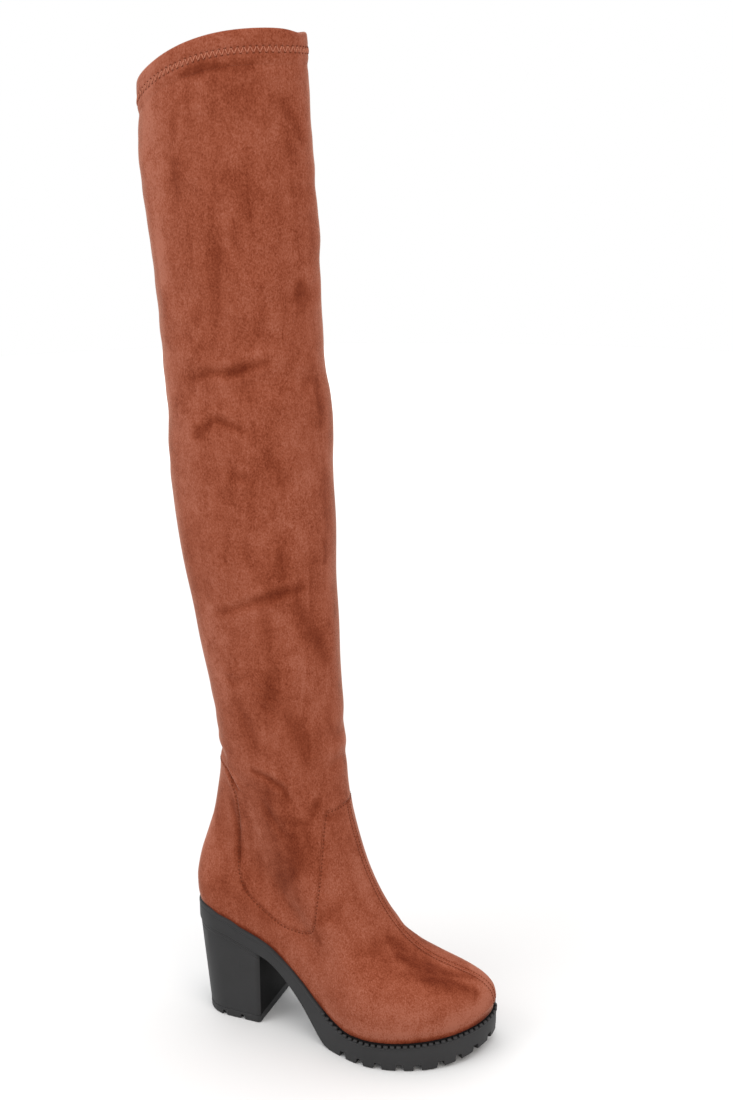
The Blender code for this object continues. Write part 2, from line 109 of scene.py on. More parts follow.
# from_heel, top (the feather line), underside
SOLE_HEIGHTS = (
    (0.0, 93.5, 79.0),
    (15.0, 92.5, 78.0),
    (30.0, 89.5, 74.8),
    (46.0, 84.5, 69.0),
    (60.0, 79.0, 63.0),
    (70.0, 74.0, 57.8),
    (80.0, 66.3, 49.5),
    (90.0, 56.5, 39.0),
    (100.0, 47.2, 26.8),
    (110.0, 39.3, 13.5),
    (117.0, 35.0, 4.8),
    (122.0, 32.2, 1.0),
    (127.0, 29.8, 0.0),
    (142.0, 25.0, 0.0),
    (156.0, 23.6, 0.0),
    (170.0, 24.0, 0.0),
    (200.0, 26.2, 0.0),
    (212.0, 27.2, 0.8),
    (225.0, 28.6, 3.0),
    (241.0, 30.6, 7.5),
)

# from_heel, how far the lip of the sole and the suede's edge lie below the insole's edge
LIP_DROPS = (
    (0.0, -0.8),
    (10.0, -2.0),
    (16.0, -1.8),
    (26.0, 0.3),
    (36.0, 0.9),
    (45.0, 2.4),
    (64.0, 1.9),
    (75.0, 2.0),
    (83.0, 1.5),
    (91.0, 0.0),
    (101.0, -0.4),
    (111.0, 0.8),
    (122.0, 2.2),
    (143.0, 3.0),
    (153.0, 2.1),
    (190.0, 2.6),
    (241.0, 2.7),
)

# back_x, back_z, front_x, front_z, half_width, sole_share, arch_share
FOOT_RINGS = (
    (1.2, 93.5, 238.8, 30.6, 43.4, 1.00, 1.00),
    (-0.8, 104.0, 240.8, 36.6, 44.4, 1.00, 0.97),
    (-1.0, 114.0, 239.6, 43.6, 44.2, 1.00, 0.93),
    (0.5, 125.0, 234.8, 51.0, 42.4, 0.97, 0.86),
    (3.0, 136.0, 225.0, 57.8, 39.2, 0.93, 0.78),
    (6.5, 147.0, 211.0, 63.0, 35.8, 0.87, 0.68),
    (10.0, 158.0, 194.5, 68.5, 33.4, 0.80, 0.58),
    (13.5, 169.0, 178.0, 77.5, 32.6, 0.72, 0.48),
    (16.0, 180.0, 162.6, 92.5, 32.7, 0.62, 0.38),
    (18.0, 190.0, 149.8, 112.5, 33.1, 0.50, 0.27),
    (20.0, 200.0, 139.2, 136.5, 34.1, 0.37, 0.17),
    (22.0, 211.0, 130.5, 166.0, 35.4, 0.22, 0.08),
    (23.3, 221.0, 124.5, 195.0, 37.0, 0.10, 0.02),
)

# front_z, back_drop, back_x, front_x, half_width
LEG_RINGS = (
    (231.0, 0.0, 24.1, 121.3, 39.0),
    (268.0, 0.0, 18.7, 118.9, 41.1),
    (304.0, 0.0, 12.5, 117.3, 43.2),
    (345.0, 0.0, 4.4, 115.3, 45.6),
    (385.0, 0.0, -3.0, 113.8, 47.8),
    (420.0, 0.0, -7.8, 113.2, 48.5),
    (455.0, 0.0, -10.4, 111.4, 48.4),
    (492.0, 1.0, -10.3, 111.2, 47.2),
    (532.0, 3.0, -13.4, 105.9, 45.2),
    (572.0, 7.0, -16.2, 104.3, 44.9),
    (615.0, 13.0, -19.6, 103.4, 43.8),
    (657.0, 21.0, -24.4, 100.6, 42.0),
    (695.0, 29.0, -26.4, 98.4, 39.8),
    (726.0, 34.6, -26.5, 97.3, 38.1),
    (748.0, 35.0, -26.0, 97.0, 37.0),
)
COLLAR = len(FOOT_RINGS) + len(LEG_RINGS) - 1
HEM = COLLAR - 1

# side outline of the seam between the upper and the shaft, from the back seam to the front: x, z
PANEL_SEAM = (
    (-20.0, 221.0),
    (27.0, 220.6),
    (35.0, 219.0),
    (40.0, 213.8),
    (43.4, 204.0),
    (45.8, 193.0),
    (46.2, 180.0),
    (45.2, 164.0),
    (44.3, 148.0),
    (44.5, 135.0),
    (46.8, 125.0),
    (51.5, 115.8),
    (66.0, 103.4),
    (77.0, 96.4),
    (87.0, 92.0),
    (98.0, 90.8),
    (105.8, 93.2),
    (110.2, 99.8),
    (113.0, 120.0),
    (114.8, 144.0),
    (115.4, 168.0),
    (116.2, 187.0),
    (119.0, 193.2),
    (160.0, 193.2),
)

# ---------------------------------------------------------------- sizes of the finish

UPPER_WALL = 2.0
UPPER_TOP = 13.2
UPPER_COLUMNS = 440
UPPER_SPACING = 1.3
SHAFT_START = 2
SHAFT_COLUMNS = 240
SHAFT_SPACING = 1.7
STITCH_INSET = 1.1
SEAM_ROW, STITCH_ROW = 1, 2
SEAM_CUTS = (-4.0, -2.4, -STITCH_INSET, 0.9, 2.2)
SEAM_MARGIN = 4.0
OUT_NAMES = ("out_x", "out_y", "out_z")
TUCK = 0.6

# how far round the boot a middle seam is felt; levels over which the skin turns soft
SEAM_REACH = 0.12
SOFT_ABOVE_SOLE = 1.2
SOFT_BELOW_HEM = 0.4
HEM_DIP = 0.75
HEM_DIP_WIDTH = 3.5
LEG_FROM = 200.0
THIGH_FROM = 420.0
WAVES_GROW_OVER = 120.0

# no crease or stroke is felt further than this from its own middle
CREASE_REACH = 90
STROKE_REACH = 110

# painted shade: how much darker the suede is coloured beside seams and stitches, in the gap just over
# the sole and in the creases, and lighter on the creases' rolls
PANEL_SHADE = 0.14
STITCH_SHADE = 0.09
VAMP_SHADE = 0.3
SOLE_SHADE = 1.4
CREASE_SHADE = 0.25

LINING_DEPTH = 4.2
LINING_DEPTH_AT_HEM = 1.9
LINING_THICKNESS = 0.6
LINING_START = 0.3
LINING_COLUMNS = 120
LINING_SPACING = 5.0
SOCK_LEVEL = 0.35

# pitch along the seam, length, radius
PANEL_STITCH = (3.1, 1.8, 0.5)
VAMP_STITCH = (2.3, 1.45, 0.55)
VAMP_STITCHES_BESIDE = 2.3
VAMP_STITCHES_TOP = 190.0
HEM_PRICK = (4.2, 1.7, 0.5)
HEM_SLANT = (4.2, 4.5, 0.42)

# distance from the panel seam, below zero on the upper's side; lift of the upper there
UPPER_EDGE = ((-16.0, 0.0), (-4.0, 0.3), (-2.4, 0.3), (-1.1, 0.05), (-0.4, 0.1), (0.0, -0.25))

# the same for the shaft, which dips and goes on below the upper
SHAFT_EDGE = ((-4.0, -1.2), (-0.5, -0.85), (0.0, -0.36), (0.9, -0.14), (2.2, -0.04), (6.0, 0.0))

# distance from a pressed-open seam down the middle of the suede; lift there
VAMP_SEAM_PROFILE = ((0.0, -0.3), (0.5, 0.1), (1.2, 0.42), (2.3, 0.12), (3.4, 0.3), (8.0, 0.0))
BACK_SEAM_PROFILE = ((0.0, -0.2), (0.5, 0.45), (1.6, 0.75), (3.2, 0.25), (5.0, 0.0))

# places along it as (angle, height); half width; depth; roll of suede above it
CREASES = (
    (((42, 217), (52, 209), (59, 201)), 2.0, 1.4, 0.9),
    (((78, 226), (96, 221), (108, 214), (114, 202)), 2.6, 1.2, 0.7),
    (((49, 192), (52, 166), (50, 136)), 3.0, 0.7, 0.3),
    (((132, 188), (114, 180), (98, 148), (82, 122)), 8.0, 0.7, 0.3),
    (((84, 203), (94, 186), (104, 170)), 4.0, 0.8, 0.3),
    (((130, 189), (144, 207)), 3.0, 0.6, 0.3),
    (((140, 190), (166, 186)), 3.0, 0.5, 0.3),
    (((108, 106), (132, 119)), 6.0, 0.4, 0.2),
    (((118, 84), (148, 87), (170, 80)), 8.0, 0.5, 0.3),
    (((144, 70), (156, 63), (168, 57)), 8.0, 0.5, 0.2),
    (((150, 226), (180, 231), (210, 226)), 5.0, 0.9, 0.6),
    (((146, 256), (180, 250), (222, 258)), 7.0, 0.8, 0.5),
    (((350, 232), (10, 231), (46, 226)), 4.0, 1.5, 1.0),
    (((330, 262), (2, 258), (34, 266)), 6.0, 1.1, 0.6),
    (((78, 277), (82, 262), (88, 243)), 5.0, 0.7, 0.2),
    (((121, 275), (130, 257), (135, 238)), 6.0, 0.9, 0.3),
    (((92, 299), (108, 289)), 1.8, 0.45, 0.2),
    (((93, 288), (111, 286)), 1.8, 0.45, 0.2),
    (((96, 284), (109, 274)), 1.8, 0.4, 0.2),
    (((114, 313), (110, 297), (103, 272)), 6.0, 0.9, 0.3),
    (((60, 299), (78, 296), (96, 305)), 3.0, 0.5, 0.3),
    (((64, 345), (86, 353), (106, 361), (128, 368), (148, 370)), 3.2, 0.9, 0.5),
    (((140, 358), (149, 337), (158, 323), (167, 307)), 6.5, 0.9, 0.3),
    (((78, 321), (102, 342)), 4.0, 0.4, 0.2),
    (((102, 406), (105, 390)), 3.5, 0.5, 0.2),
    (((128, 399), (129, 376)), 4.5, 0.5, 0.2),
    (((68, 478), (78, 484), (87, 492), (97, 489), (110, 484)), 2.8, 1.0, 0.5),
    (((96, 464), (100, 452), (115, 449)), 3.0, 0.7, 0.3),
    (((123, 473), (128, 459), (136, 443)), 4.0, 0.7, 0.3),
    (((344, 455), (4, 449), (30, 456)), 6.0, 1.0, 0.5),
    (((338, 486), (0, 492), (26, 486)), 6.0, 1.1, 0.6),
    (((66, 518), (88, 524), (102, 524), (114, 529), (136, 534)), 3.2, 1.1, 0.6),
    (((336, 528), (0, 534), (22, 529)), 7.0, 0.9, 0.5),
    (((150, 515), (164, 520), (186, 516)), 5.0, 0.8, 0.5),
    (((152, 583), (164, 577), (184, 580)), 5.0, 0.7, 0.5),
    (((142, 708), (156, 697), (172, 674)), 5.0, 0.7, 0.3),
    (((100, 622), (95, 594), (94, 562)), 6.0, 0.5, 0.2),
    (((228, 222), (250, 227), (276, 221)), 3.5, 1.2, 0.7),
    (((222, 172), (244, 158), (272, 136)), 6.0, 1.4, 0.4),
    (((214, 262), (246, 246)), 6.0, 0.8, 0.3),
    (((222, 352), (252, 361), (288, 350)), 4.0, 0.8, 0.4),
    (((236, 310), (250, 288)), 5.0, 0.6, 0.2),
    (((230, 492), (258, 484), (290, 490)), 4.0, 0.9, 0.4),
    (((226, 528), (262, 520), (300, 529)), 4.0, 0.9, 0.5),
    (((192, 88), (208, 84), (224, 74)), 6.0, 0.8, 0.3),
    (((234, 122), (214, 128)), 5.0, 0.7, 0.3),
)

# places along it as (angle, height); half width; how dark the stroke is painted, below zero how light
# the strokes mix the nap's own patches with painted shade along creases and under the hem's edge, and
# painted highlights down the lit left side and on the toe
NAP_STROKES_AND_PAINTED_LIGHT = (
    # painted shadow under the edge of the hem
    (((80, 719), (88, 721), (98, 724), (112, 724)), 4.8, 0.75),
    (((108, 722), (126, 725)), 7.0, 0.45),
    (((86, 712), (86, 700)), 7.0, 0.2),
    (((104, 716), (122, 707), (132, 690)), 12.0, 0.3),
    (((104, 702), (103, 668)), 11.0, 0.22),
    (((143, 706), (154, 698), (162, 691), (170, 676)), 4.5, 0.22),
    (((150, 688), (157, 662)), 5.0, 0.2),
    (((147, 660), (157, 649), (174, 638), (177, 606)), 5.0, 0.28),
    (((78, 702), (74, 689), (72, 678)), 4.0, 0.3),
    (((72, 663), (74, 638)), 6.0, 0.35),
    (((98, 655), (114, 656), (121, 644), (122, 630)), 10.0, 0.25),
    (((99, 651), (98, 636)), 9.0, 0.22),
    (((99, 604), (97, 590), (95, 566)), 10.0, 0.38),
    (((91, 606), (87, 585), (80, 556)), 5.0, 0.22),
    (((110, 626), (110, 611)), 4.0, 0.3),
    (((105, 562), (107, 548)), 5.0, 0.28),
    (((120, 556), (119, 542)), 4.0, 0.3),
    (((160, 584), (160, 566)), 7.0, 0.6),
    (((163, 562), (163, 544)), 7.0, 0.22),
    (((164, 535), (168, 525)), 5.0, 0.45),
    (((171, 516), (171, 486)), 7.0, 0.55),
    (((72, 519), (88, 524), (102, 524)), 4.0, 0.3),
    (((101, 525), (113, 529)), 7.0, 0.6),
    (((112, 529), (130, 533)), 3.0, 0.3),
    (((110, 522), (112, 506)), 7.0, 0.3),
    (((86, 518), (88, 510)), 6.0, 0.25),
    (((72, 479), (79, 485)), 7.0, 0.5),
    (((78, 484), (87, 492), (96, 489), (108, 484)), 2.8, 0.3),
    (((114, 491), (114, 475)), 2.5, 0.25),
    (((96, 463), (100, 452), (114, 449)), 3.5, 0.15),
    (((113, 450), (110, 434)), 5.0, 0.25),
    (((122, 474), (127, 462)), 4.0, 0.18),
    (((126, 464), (135, 446)), 8.0, 0.26),
    (((104, 406), (104, 390)), 4.5, 0.3),
    (((128, 399), (127, 376)), 7.0, 0.35),
    (((110, 388), (116, 377), (130, 375)), 8.0, 0.22),
    (((110, 362), (120, 366), (130, 370)), 9.5, 0.6),
    (((128, 368), (144, 371)), 6.0, 0.4),
    (((64, 345), (86, 353), (106, 361)), 2.8, 0.14),
    (((138, 360), (148, 338), (157, 325)), 9.0, 0.4),
    (((154, 330), (164, 310)), 8.0, 0.42),
    (((112, 360), (112, 341), (111, 318)), 7.0, 0.36),
    (((114, 313), (111, 300)), 8.0, 0.36),
    (((110, 300), (106, 284), (102, 268)), 10.0, 0.36),
    (((80, 270), (88, 243)), 9.0, 0.28),
    (((74, 283), (80, 268)), 6.0, 0.18),
    (((120, 275), (129, 257), (134, 238)), 12.0, 0.42),
    (((74, 248), (94, 242), (118, 246)), 8.0, 0.25),
    (((160, 274), (164, 256)), 4.5, 0.35),
    (((174, 462), (174, 426), (170, 386)), 4.5, 0.35),
    # these three follow creases: painted shade in their troughs
    (((80, 225), (96, 221), (108, 214), (114, 202)), 2.6, 0.4),
    (((43, 216), (52, 209), (58, 202)), 2.5, 0.2),
    (((50, 190), (52, 165), (50, 138)), 5.0, 0.42),
    (((30, 168), (35, 148)), 8.0, 0.3),
    (((41, 120), (54, 106), (66, 96)), 9.0, 0.3),
    (((94, 208), (93, 179), (90, 150), (84, 124)), 17.0, 0.42),
    (((92, 186), (108, 188), (124, 185)), 6.0, 0.5),
    (((109, 173), (107, 156), (101, 142)), 13.0, 0.62),
    (((106, 150), (97, 140), (83, 124)), 10.0, 0.46),
    (((66, 146), (72, 130), (80, 112)), 9.0, 0.28),
    (((122, 183), (118, 156)), 7.0, 0.35),
    (((96, 135), (95, 121)), 7.0, 0.38),
    (((61, 143), (65, 121)), 8.0, 0.3),
    (((130, 188), (144, 206)), 3.0, 0.28),
    (((142, 189), (166, 186)), 4.0, 0.2),
    (((136, 168), (130, 143)), 8.0, 0.12),
    (((52, 122), (62, 103), (72, 92)), 4.0, 0.35),
    (((106, 105), (122, 112), (134, 121)), 6.0, 0.3),
    (((100, 97), (98, 87)), 4.0, 0.4),
    (((124, 84), (140, 87), (156, 87)), 7.0, 0.28),
    (((137, 85), (141, 77)), 9.0, 0.4),
    (((120, 75), (135, 74), (142, 69)), 8.0, 0.28),
    (((158, 88), (164, 82), (166, 74)), 8.0, 0.55),
    (((154, 77), (160, 70), (168, 63)), 9.0, 0.85),
    (((166, 79), (176, 71)), 7.0, 0.4),
    (((147, 69), (153, 64), (159, 59), (166, 53)), 9.0, 0.65),
    (((168, 63), (176, 58)), 5.0, 0.5),
    (((232, 372), (262, 360)), 10.0, 0.5),
    (((250, 470), (280, 480)), 9.0, 0.4),
    (((28, 94), (42, 90)), 5.0, 0.25),
    (((220, 172), (250, 154), (280, 132)), 9.0, 0.5),
    (((200, 84), (214, 66)), 9.0, 0.45),
    (((300, 700), (250, 690)), 12.0, 0.3),
    (((240, 560), (262, 600)), 12.0, 0.3),
    (((10, 470), (350, 500)), 10.0, 0.35),
    (((8, 250), (352, 244)), 8.0, 0.4),
    (((20, 620), (350, 590)), 12.0, 0.3),
    (((124, 349), (131, 324), (142, 293)), 9.0, -0.25),
    (((58, 488), (57, 459), (61, 425)), 13.0, -0.36),
    (((62, 349), (55, 316), (62, 288)), 13.0, -0.46),
    (((67, 568), (63, 526)), 12.0, -0.3),
    (((70, 193), (75, 172), (74, 146)), 5.0, -0.28),
    (((142, 156), (138, 104)), 12.0, -0.22),
    (((72, 92), (83, 63), (92, 39)), 10.0, -0.28),
    (((147, 446), (146, 405)), 16.0, -0.3),
    (((114, 96), (112, 76), (108, 52)), 20.0, -0.26),
    (((104, 47), (123, 45), (137, 48)), 14.0, -0.38),
    (((150, 104), (142, 94)), 14.0, -0.15),
    (((18, 160), (14, 128)), 11.0, -0.55),
    (((28, 150), (27, 124)), 14.0, -0.35),
    (((166, 150), (163, 114)), 12.0, -0.22),
    (((92, 27), (109, 28), (126, 30)), 9.0, -0.7),
    (((134, 32), (149, 36), (166, 42)), 10.0, -0.85),
    (((190, 58), (178, 50), (168, 42)), 9.0, -0.7),
    (((138, 682), (142, 671)), 8.0, -0.15),
    (((70, 502), (80, 506)), 6.0, -0.2),
    # these two: painted highlight down the lit left side
    (((42, 532), (37, 492)), 12.0, -0.42),
    (((45, 738), (47, 715), (49, 676), (51, 628), (50, 584)), 10.0, -0.62),
    (((96, 736), (112, 740)), 8.0, -0.25),
    (((270, 420), (262, 380)), 14.0, -0.25),
    (((240, 650), (246, 620)), 14.0, -0.25),
    (((220, 110), (236, 92)), 12.0, -0.25),
)

# height below the collar's edge; distance out from the shaft's surface, round the folded hem
HEM_SECTION = (
    (22.0, -2.2),
    (22.0, -0.75),
    (21.0, -0.55),
    (19.6, -0.15),
    (18.0, 0.2),
    (16.7, 0.3),
    (15.5, 0.05),
    (14.4, 0.35),
    (13.4, 0.42),
    (12.4, 0.35),
    (11.3, 0.05),
    (10.2, 0.4),
    (8.0, 0.6),
    (4.5, 0.6),
    (1.8, 0.45),
    (0.6, 0.05),
    (0.0, -0.8),
    (0.1, -1.6),
    (0.8, -2.2),
    (2.5, -2.4),
    (11.5, -2.3),
    (19.5, -2.4),
)
HEM_HEIGHT = 22.0
HEM_ROWS = (11.3, 15.5)
HEM_COLUMNS = 520
COLLAR_DIP = 2.5
COLLAR_LEAN = 2.4

# out from the sole's edge, height from its rim, round the lip; a block is length, width, height
WELT_SECTION = (
    (-8.5, -0.2),
    (-1.9, -0.2),
    (-1.6, -0.5),
    (-1.5, -2.1),
    (-1.1, -2.5),
    (0.1, -2.6),
    (0.4, -2.85),
    (0.45, -3.4),
    (0.2, -3.8),
    (-0.8, -4.0),
    (-8.5, -4.0),
)
# how far under the rim the welt's faces take the darker rubber, as painted shade in the recess
WELT_RECESS = 2.4
WELT_PITCH = 4.9
WELT_BLOCK = (3.3, 1.9, 2.2)
WELT_BLOCK_ROUNDING = 0.4
WELT_BLOCKS_IN = 0.5
WELT_BLOCKS_BELOW = 1.5

# share of the way down the heel, inset; then the height of the wearing piece's layers, inset
HEEL_LAYERS = (
    (0, 0.8),
    (0.006, 0.1),
    (0.03, 0.0),
    (0.038, 0.3),
    (0.046, 0.0),
    (0.07, 0.0),
    (0.078, 0.3),
    (0.086, 0.0),
    (0.5, 0.0),
    (0.985, 0.0),
    (0.995, 0.2),
    (1.0, 0.7),
)
HEEL_TIP_LAYERS = (
    (HEEL_TIP_THICKNESS, 0.7),
    (HEEL_TIP_THICKNESS - 0.4, 0.1),
    (HEEL_TIP_THICKNESS - 1.0, 0.0),
    (1.0, 0.0),
    (0.3, 0.3),
    (0.0, 0.9),
)
HEEL_COLUMNS = 72
HEEL_ROWS = 12
SOLE_COLUMNS = 200
SOLE_ROWS = 10


# ---------------------------------------------------------------- smooth values from the tables

def smooth_values(rows, column, at):
    """A column of a table between its rows, on a curve that never overshoots them."""
    places = np.array([row[0] for row in rows], float)
    values = np.array([row[column] for row in rows], float)
    steps = np.diff(places)
    slopes = np.diff(values) / steps
    tangents = np.concatenate([slopes[:1], np.zeros(len(slopes) - 1), slopes[-1:]])
    for i in range(1, len(slopes)):
        before, after = slopes[i - 1], slopes[i]
        if before * after > 0:
            tangents[i] = 2 * before * after / (before + after)
    at = np.clip(np.asarray(at, float), places[0], places[-1])
    row = np.clip(np.searchsorted(places, at, "right") - 1, 0, len(steps) - 1)
    t = (at - places[row]) / steps[row]
    rise = (2 * t**3 - 3 * t**2 + 1) * values[row] + (3 * t**2 - 2 * t**3) * values[row + 1]
    bend = (t**3 - 2 * t**2 + t) * tangents[row] + (t**3 - t**2) * tangents[row + 1]
    return rise + bend * steps[row]


def band(away, width):
    """A soft band: 1 along its middle, and gone at about twice its width."""
    return np.exp(-(away / width) ** 2)


def quarter(t, power):
    """Height of a quarter superellipse that starts level at t = 0 and ends upright at t = 1."""
    return (1 - np.clip(t, 0, 1) ** power) ** (1 / power)


def sole_top(x):
    """Height of the feather line, where the insole's edge meets the suede."""
    return smooth_values(SOLE_HEIGHTS, 1, x)


def lip_top(x):
    """Height of the sole's rim, where the suede meets it."""
    return sole_top(x) - smooth_values(LIP_DROPS, 1, x)


def sole_underside(x):
    """Height of the sole's underside."""
    return smooth_values(SOLE_HEIGHTS, 2, x)


def sole_side(x, side, column, ball_at, ball, toe_power):
    """y of one edge of the sole: round at the heel, tabled at the waist, curved in to the toe."""
    x = np.asarray(x, float)
    heel = side * HEEL_HALF_WIDTH * quarter((HEEL_ROUND - x) / HEEL_ROUND, HEEL_ROUND_POWER)
    t = (x - ball_at) / (SOLE_LENGTH - ball_at)
    toe = TOE_SWING + (side * ball - TOE_SWING) * quarter(t, toe_power)
    waist = side * smooth_values(SOLE_SIDES, column, x)
    return np.where(x < HEEL_ROUND, heel, np.where(x < ball_at, waist, toe))


def outer_side(x):
    """y of the sole's outer edge, which bulges at the ball."""
    return sole_side(x, -1, 1, OUTER_BALL_AT, OUTER_BALL, OUTER_TOE_POWER)


def inner_side(x):
    """y of the sole's inner edge, which is hollow at the waist and straighter at the toe."""
    return sole_side(x, 1, 2, INNER_BALL_AT, INNER_BALL, INNER_TOE_POWER)


def sole_outline(count):
    """Places round the sole's edge: along the outer side to the toe and back on the inner one."""
    x = stations(0, SOLE_LENGTH, count)
    return [(a, float(outer_side(a))) for a in x] + [(a, float(inner_side(a))) for a in x[-2:0:-1]]


def stations(first, last, count):
    """Places along the sole, closer together towards both ends."""
    share = (1 - np.cos(math.pi * np.arange(count + 1) / count)) / 2
    return first + (last - first) * share


def ring_rows():
    """Every ring of the skin as one numbered row of plain values."""
    rows = [(*row, 1.0) for row in FOOT_RINGS]
    for front_z, back_drop, back_x, front_x, half_width in LEG_RINGS:
        rows.append((back_x, front_z - back_drop, front_x, front_z, half_width, 0, 0, COLLAR_BOW))
    return [(level, *row) for level, row in enumerate(rows)]


def faired(values, reach):
    """Evenly spaced values with their corners eased and both ends kept."""
    start = 2 * values[0] - values[reach:0:-1]
    end = 2 * values[-1] - values[-2 : -reach - 2 : -1]
    weights = np.hanning(2 * reach + 3)[1:-1]
    return np.convolve(np.concatenate([start, values, end]), weights / weights.sum(), "valid")


LEVELS = np.linspace(0, COLLAR, 20 * COLLAR + 1)
FAIRED_RINGS = [faired(smooth_values(ring_rows(), column, LEVELS), 9) for column in range(1, 9)]


def skin(level, around):
    """Points of the boot's outer surface: level counts rings up it, around goes from 0 to 1."""
    level, around = np.broadcast_arrays(np.asarray(level, float), np.asarray(around, float) % 1)
    back_x, back_z, front_x, front_z, half_width, sole_share, arch_share, bow = (
        np.interp(level, LEVELS, column) for column in FAIRED_RINGS
    )
    share = (1 - np.cos(2 * math.pi * around)) / 2
    inner = around > 0.5
    x_on_sole = SOLE_LENGTH * share
    sole_half = (OUTER_BALL + INNER_BALL) / 2
    on_sole = np.where(inner, inner_side(x_on_sole), outer_side(x_on_sole)) / sole_half
    on_oval = np.where(inner, 1, -1) * quarter(np.abs(2 * share - 1), OVAL_POWER)
    y = half_width * (sole_share * on_sole + (1 - sole_share) * on_oval)
    straight = FOOT_RINGS[0][1] + (FOOT_RINGS[0][3] - FOOT_RINGS[0][1]) * share
    x = back_x + (front_x - back_x) * share
    z = back_z + (front_z - back_z) * (1 - (1 - share) ** bow)
    z = z + arch_share * (sole_top(x_on_sole) - straight)
    return np.stack([x, y, z], axis=-1)


def level_at(around, height):
    """The level whose point at that place round the boot lies at a height."""
    return np.interp(height, skin(LEVELS, around)[:, 2], LEVELS)


def on_skin(places):
    """Points on the skin at (angle, height) places, with more of them in between."""
    angles = np.unwrap(np.radians([place[0] for place in places]))
    heights = [place[1] for place in places]
    steps = np.linspace(0, len(places) - 1, 6 * len(places) - 5)
    knots = range(len(places))
    around = np.interp(steps, knots, angles) / (2 * math.pi)
    height = np.interp(steps, knots, heights)
    return np.array([skin(level_at(a, h), a) for a, h in zip(around % 1, height)])


def evenly(points, spacing, closed=False):
    """Points a spacing apart along a line of points, with the direction of the line at each."""
    points = np.asarray(points, float)
    if closed:
        points = np.vstack([points, points[:1]])
    travelled = np.concatenate([[0], np.cumsum(np.linalg.norm(np.diff(points, axis=0), axis=1))])
    count = max(2, round(travelled[-1] / spacing))
    at = np.linspace(0, travelled[-1], count + 1)
    at = (at[:-1] + at[1:]) / 2
    places = np.stack([np.interp(at, travelled, points[:, k]) for k in range(3)], axis=1)
    ahead = np.stack([np.interp(at + 0.2, travelled, points[:, k]) for k in range(3)], axis=1)
    behind = np.stack([np.interp(at - 0.2, travelled, points[:, k]) for k in range(3)], axis=1)
    along = ahead - behind
    return places, along / np.linalg.norm(along, axis=1)[:, None]


def distance_along(points, line):
    """For many points, the distance to a line and how far along it the nearest place is."""
    best = np.full(len(points), np.inf)
    share = np.zeros(len(points))
    for i in range(len(line) - 1):
        start, run = line[i], line[i + 1] - line[i]
        t = np.clip((points - start) @ run / (run @ run), 0, 1)
        gap = np.linalg.norm(points - start - t[:, None] * run, axis=1)
        nearer = gap < best
        best[nearer] = gap[nearer]
        share[nearer] = (i + t[nearer]) / (len(line) - 1)
    return best, share


# ---------------------------------------------------------------- meshes

def deselect():
    """Leave edit mode and select nothing."""
    if bpy.context.object and bpy.context.object.mode != "OBJECT":
        bpy.ops.object.mode_set(mode="OBJECT")
    bpy.ops.object.select_all(action="DESELECT")


def activate(piece):
    """Select one piece alone."""
    deselect()
    piece.select_set(True)
    bpy.context.view_layer.objects.active = piece


def read_points(piece):
    """A piece's points in millimetres, as on the last."""
    flat = np.empty(len(piece.data.vertices) * 3)
    piece.data.vertices.foreach_get("co", flat)
    return flat.reshape(-1, 3) / MM + [HEEL_CENTRE, 0, 0]


def write_points(piece, points):
    """Put a piece's points at places in millimetres, as on the last."""
    placed = (np.asarray(points) - [HEEL_CENTRE, 0, 0]) * MM
    piece.data.vertices.foreach_set("co", placed.ravel())
    piece.data.update()


def read_normals(piece):
    flat = np.empty(len(piece.data.vertices) * 3)
    piece.data.vertices.foreach_get("normal", flat)
    return flat.reshape(-1, 3)


def pattern_grid(name, across, along, place):
    """A flat grid shaped by place(u, v), both from 0 to 1, and sewn where its edges meet."""
    deselect()
    bpy.ops.mesh.primitive_grid_add(x_subdivisions=across, y_subdivisions=along, size=1.0)
    piece = bpy.context.object
    piece.name = piece.data.name = name
    flat = np.empty(len(piece.data.vertices) * 3)
    piece.data.vertices.foreach_get("co", flat)
    flat = flat.reshape(-1, 3) + 0.5
    u = np.round(flat[:, 0] * across) / across
    v = np.round(flat[:, 1] * along) / along
    write_points(piece, place(u, v))
    bpy.ops.object.mode_set(mode="EDIT")
    bpy.ops.mesh.select_all(action="SELECT")
    bpy.ops.mesh.remove_doubles(threshold=0.02 * MM)
    bpy.ops.object.mode_set(mode="OBJECT")
    return piece


def modify(piece, kind, **settings):
    """Add a modifier and apply it."""
    activate(piece)
    made = piece.modifiers.new(kind.title(), kind)
    for key, value in settings.items():
        setattr(made, key, value)
    bpy.ops.object.modifier_apply(modifier=made.name)


def smooth(piece, angle=None):
    """Smooth shading, all over or up to an angle in degrees."""
    activate(piece)
    if angle is None:
        bpy.ops.object.shade_smooth()
    else:
        bpy.ops.object.shade_smooth_by_angle(angle=math.radians(angle))


def face_outwards(piece):
    """Turn every face of a closed piece outwards."""
    activate(piece)
    bpy.ops.object.mode_set(mode="EDIT")
    bpy.ops.mesh.select_all(action="SELECT")
    bpy.ops.mesh.normals_make_consistent(inside=False)
    bpy.ops.object.mode_set(mode="OBJECT")


def finish_piece(piece, nodes, materials):
    """Give a piece its materials, hang it under the root and hide the solids it stands for."""
    piece.data.materials.clear()
    for made in materials:
        piece.data.materials.append(made)
    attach(piece, "root")
    if nodes:
        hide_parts(*nodes)


# ---------------------------------------------------------------- the suede skin

def warped(u):
    """Places round the boot that crowd towards the back seam and the front."""
    return u - 0.4 * np.sin(4 * math.pi * u) / (4 * math.pi)


def even_levels(first, last, spacing):
    """Levels a spacing apart up the outer side."""
    levels = np.linspace(first, last, 400)
    steps = np.linalg.norm(np.diff(skin(levels, 0.25), axis=0), axis=1)
    travelled = np.concatenate([[0], np.cumsum(steps)])
    count = math.ceil(travelled[-1] / spacing)
    return np.interp(np.linspace(0, travelled[-1], count + 1), travelled, levels)


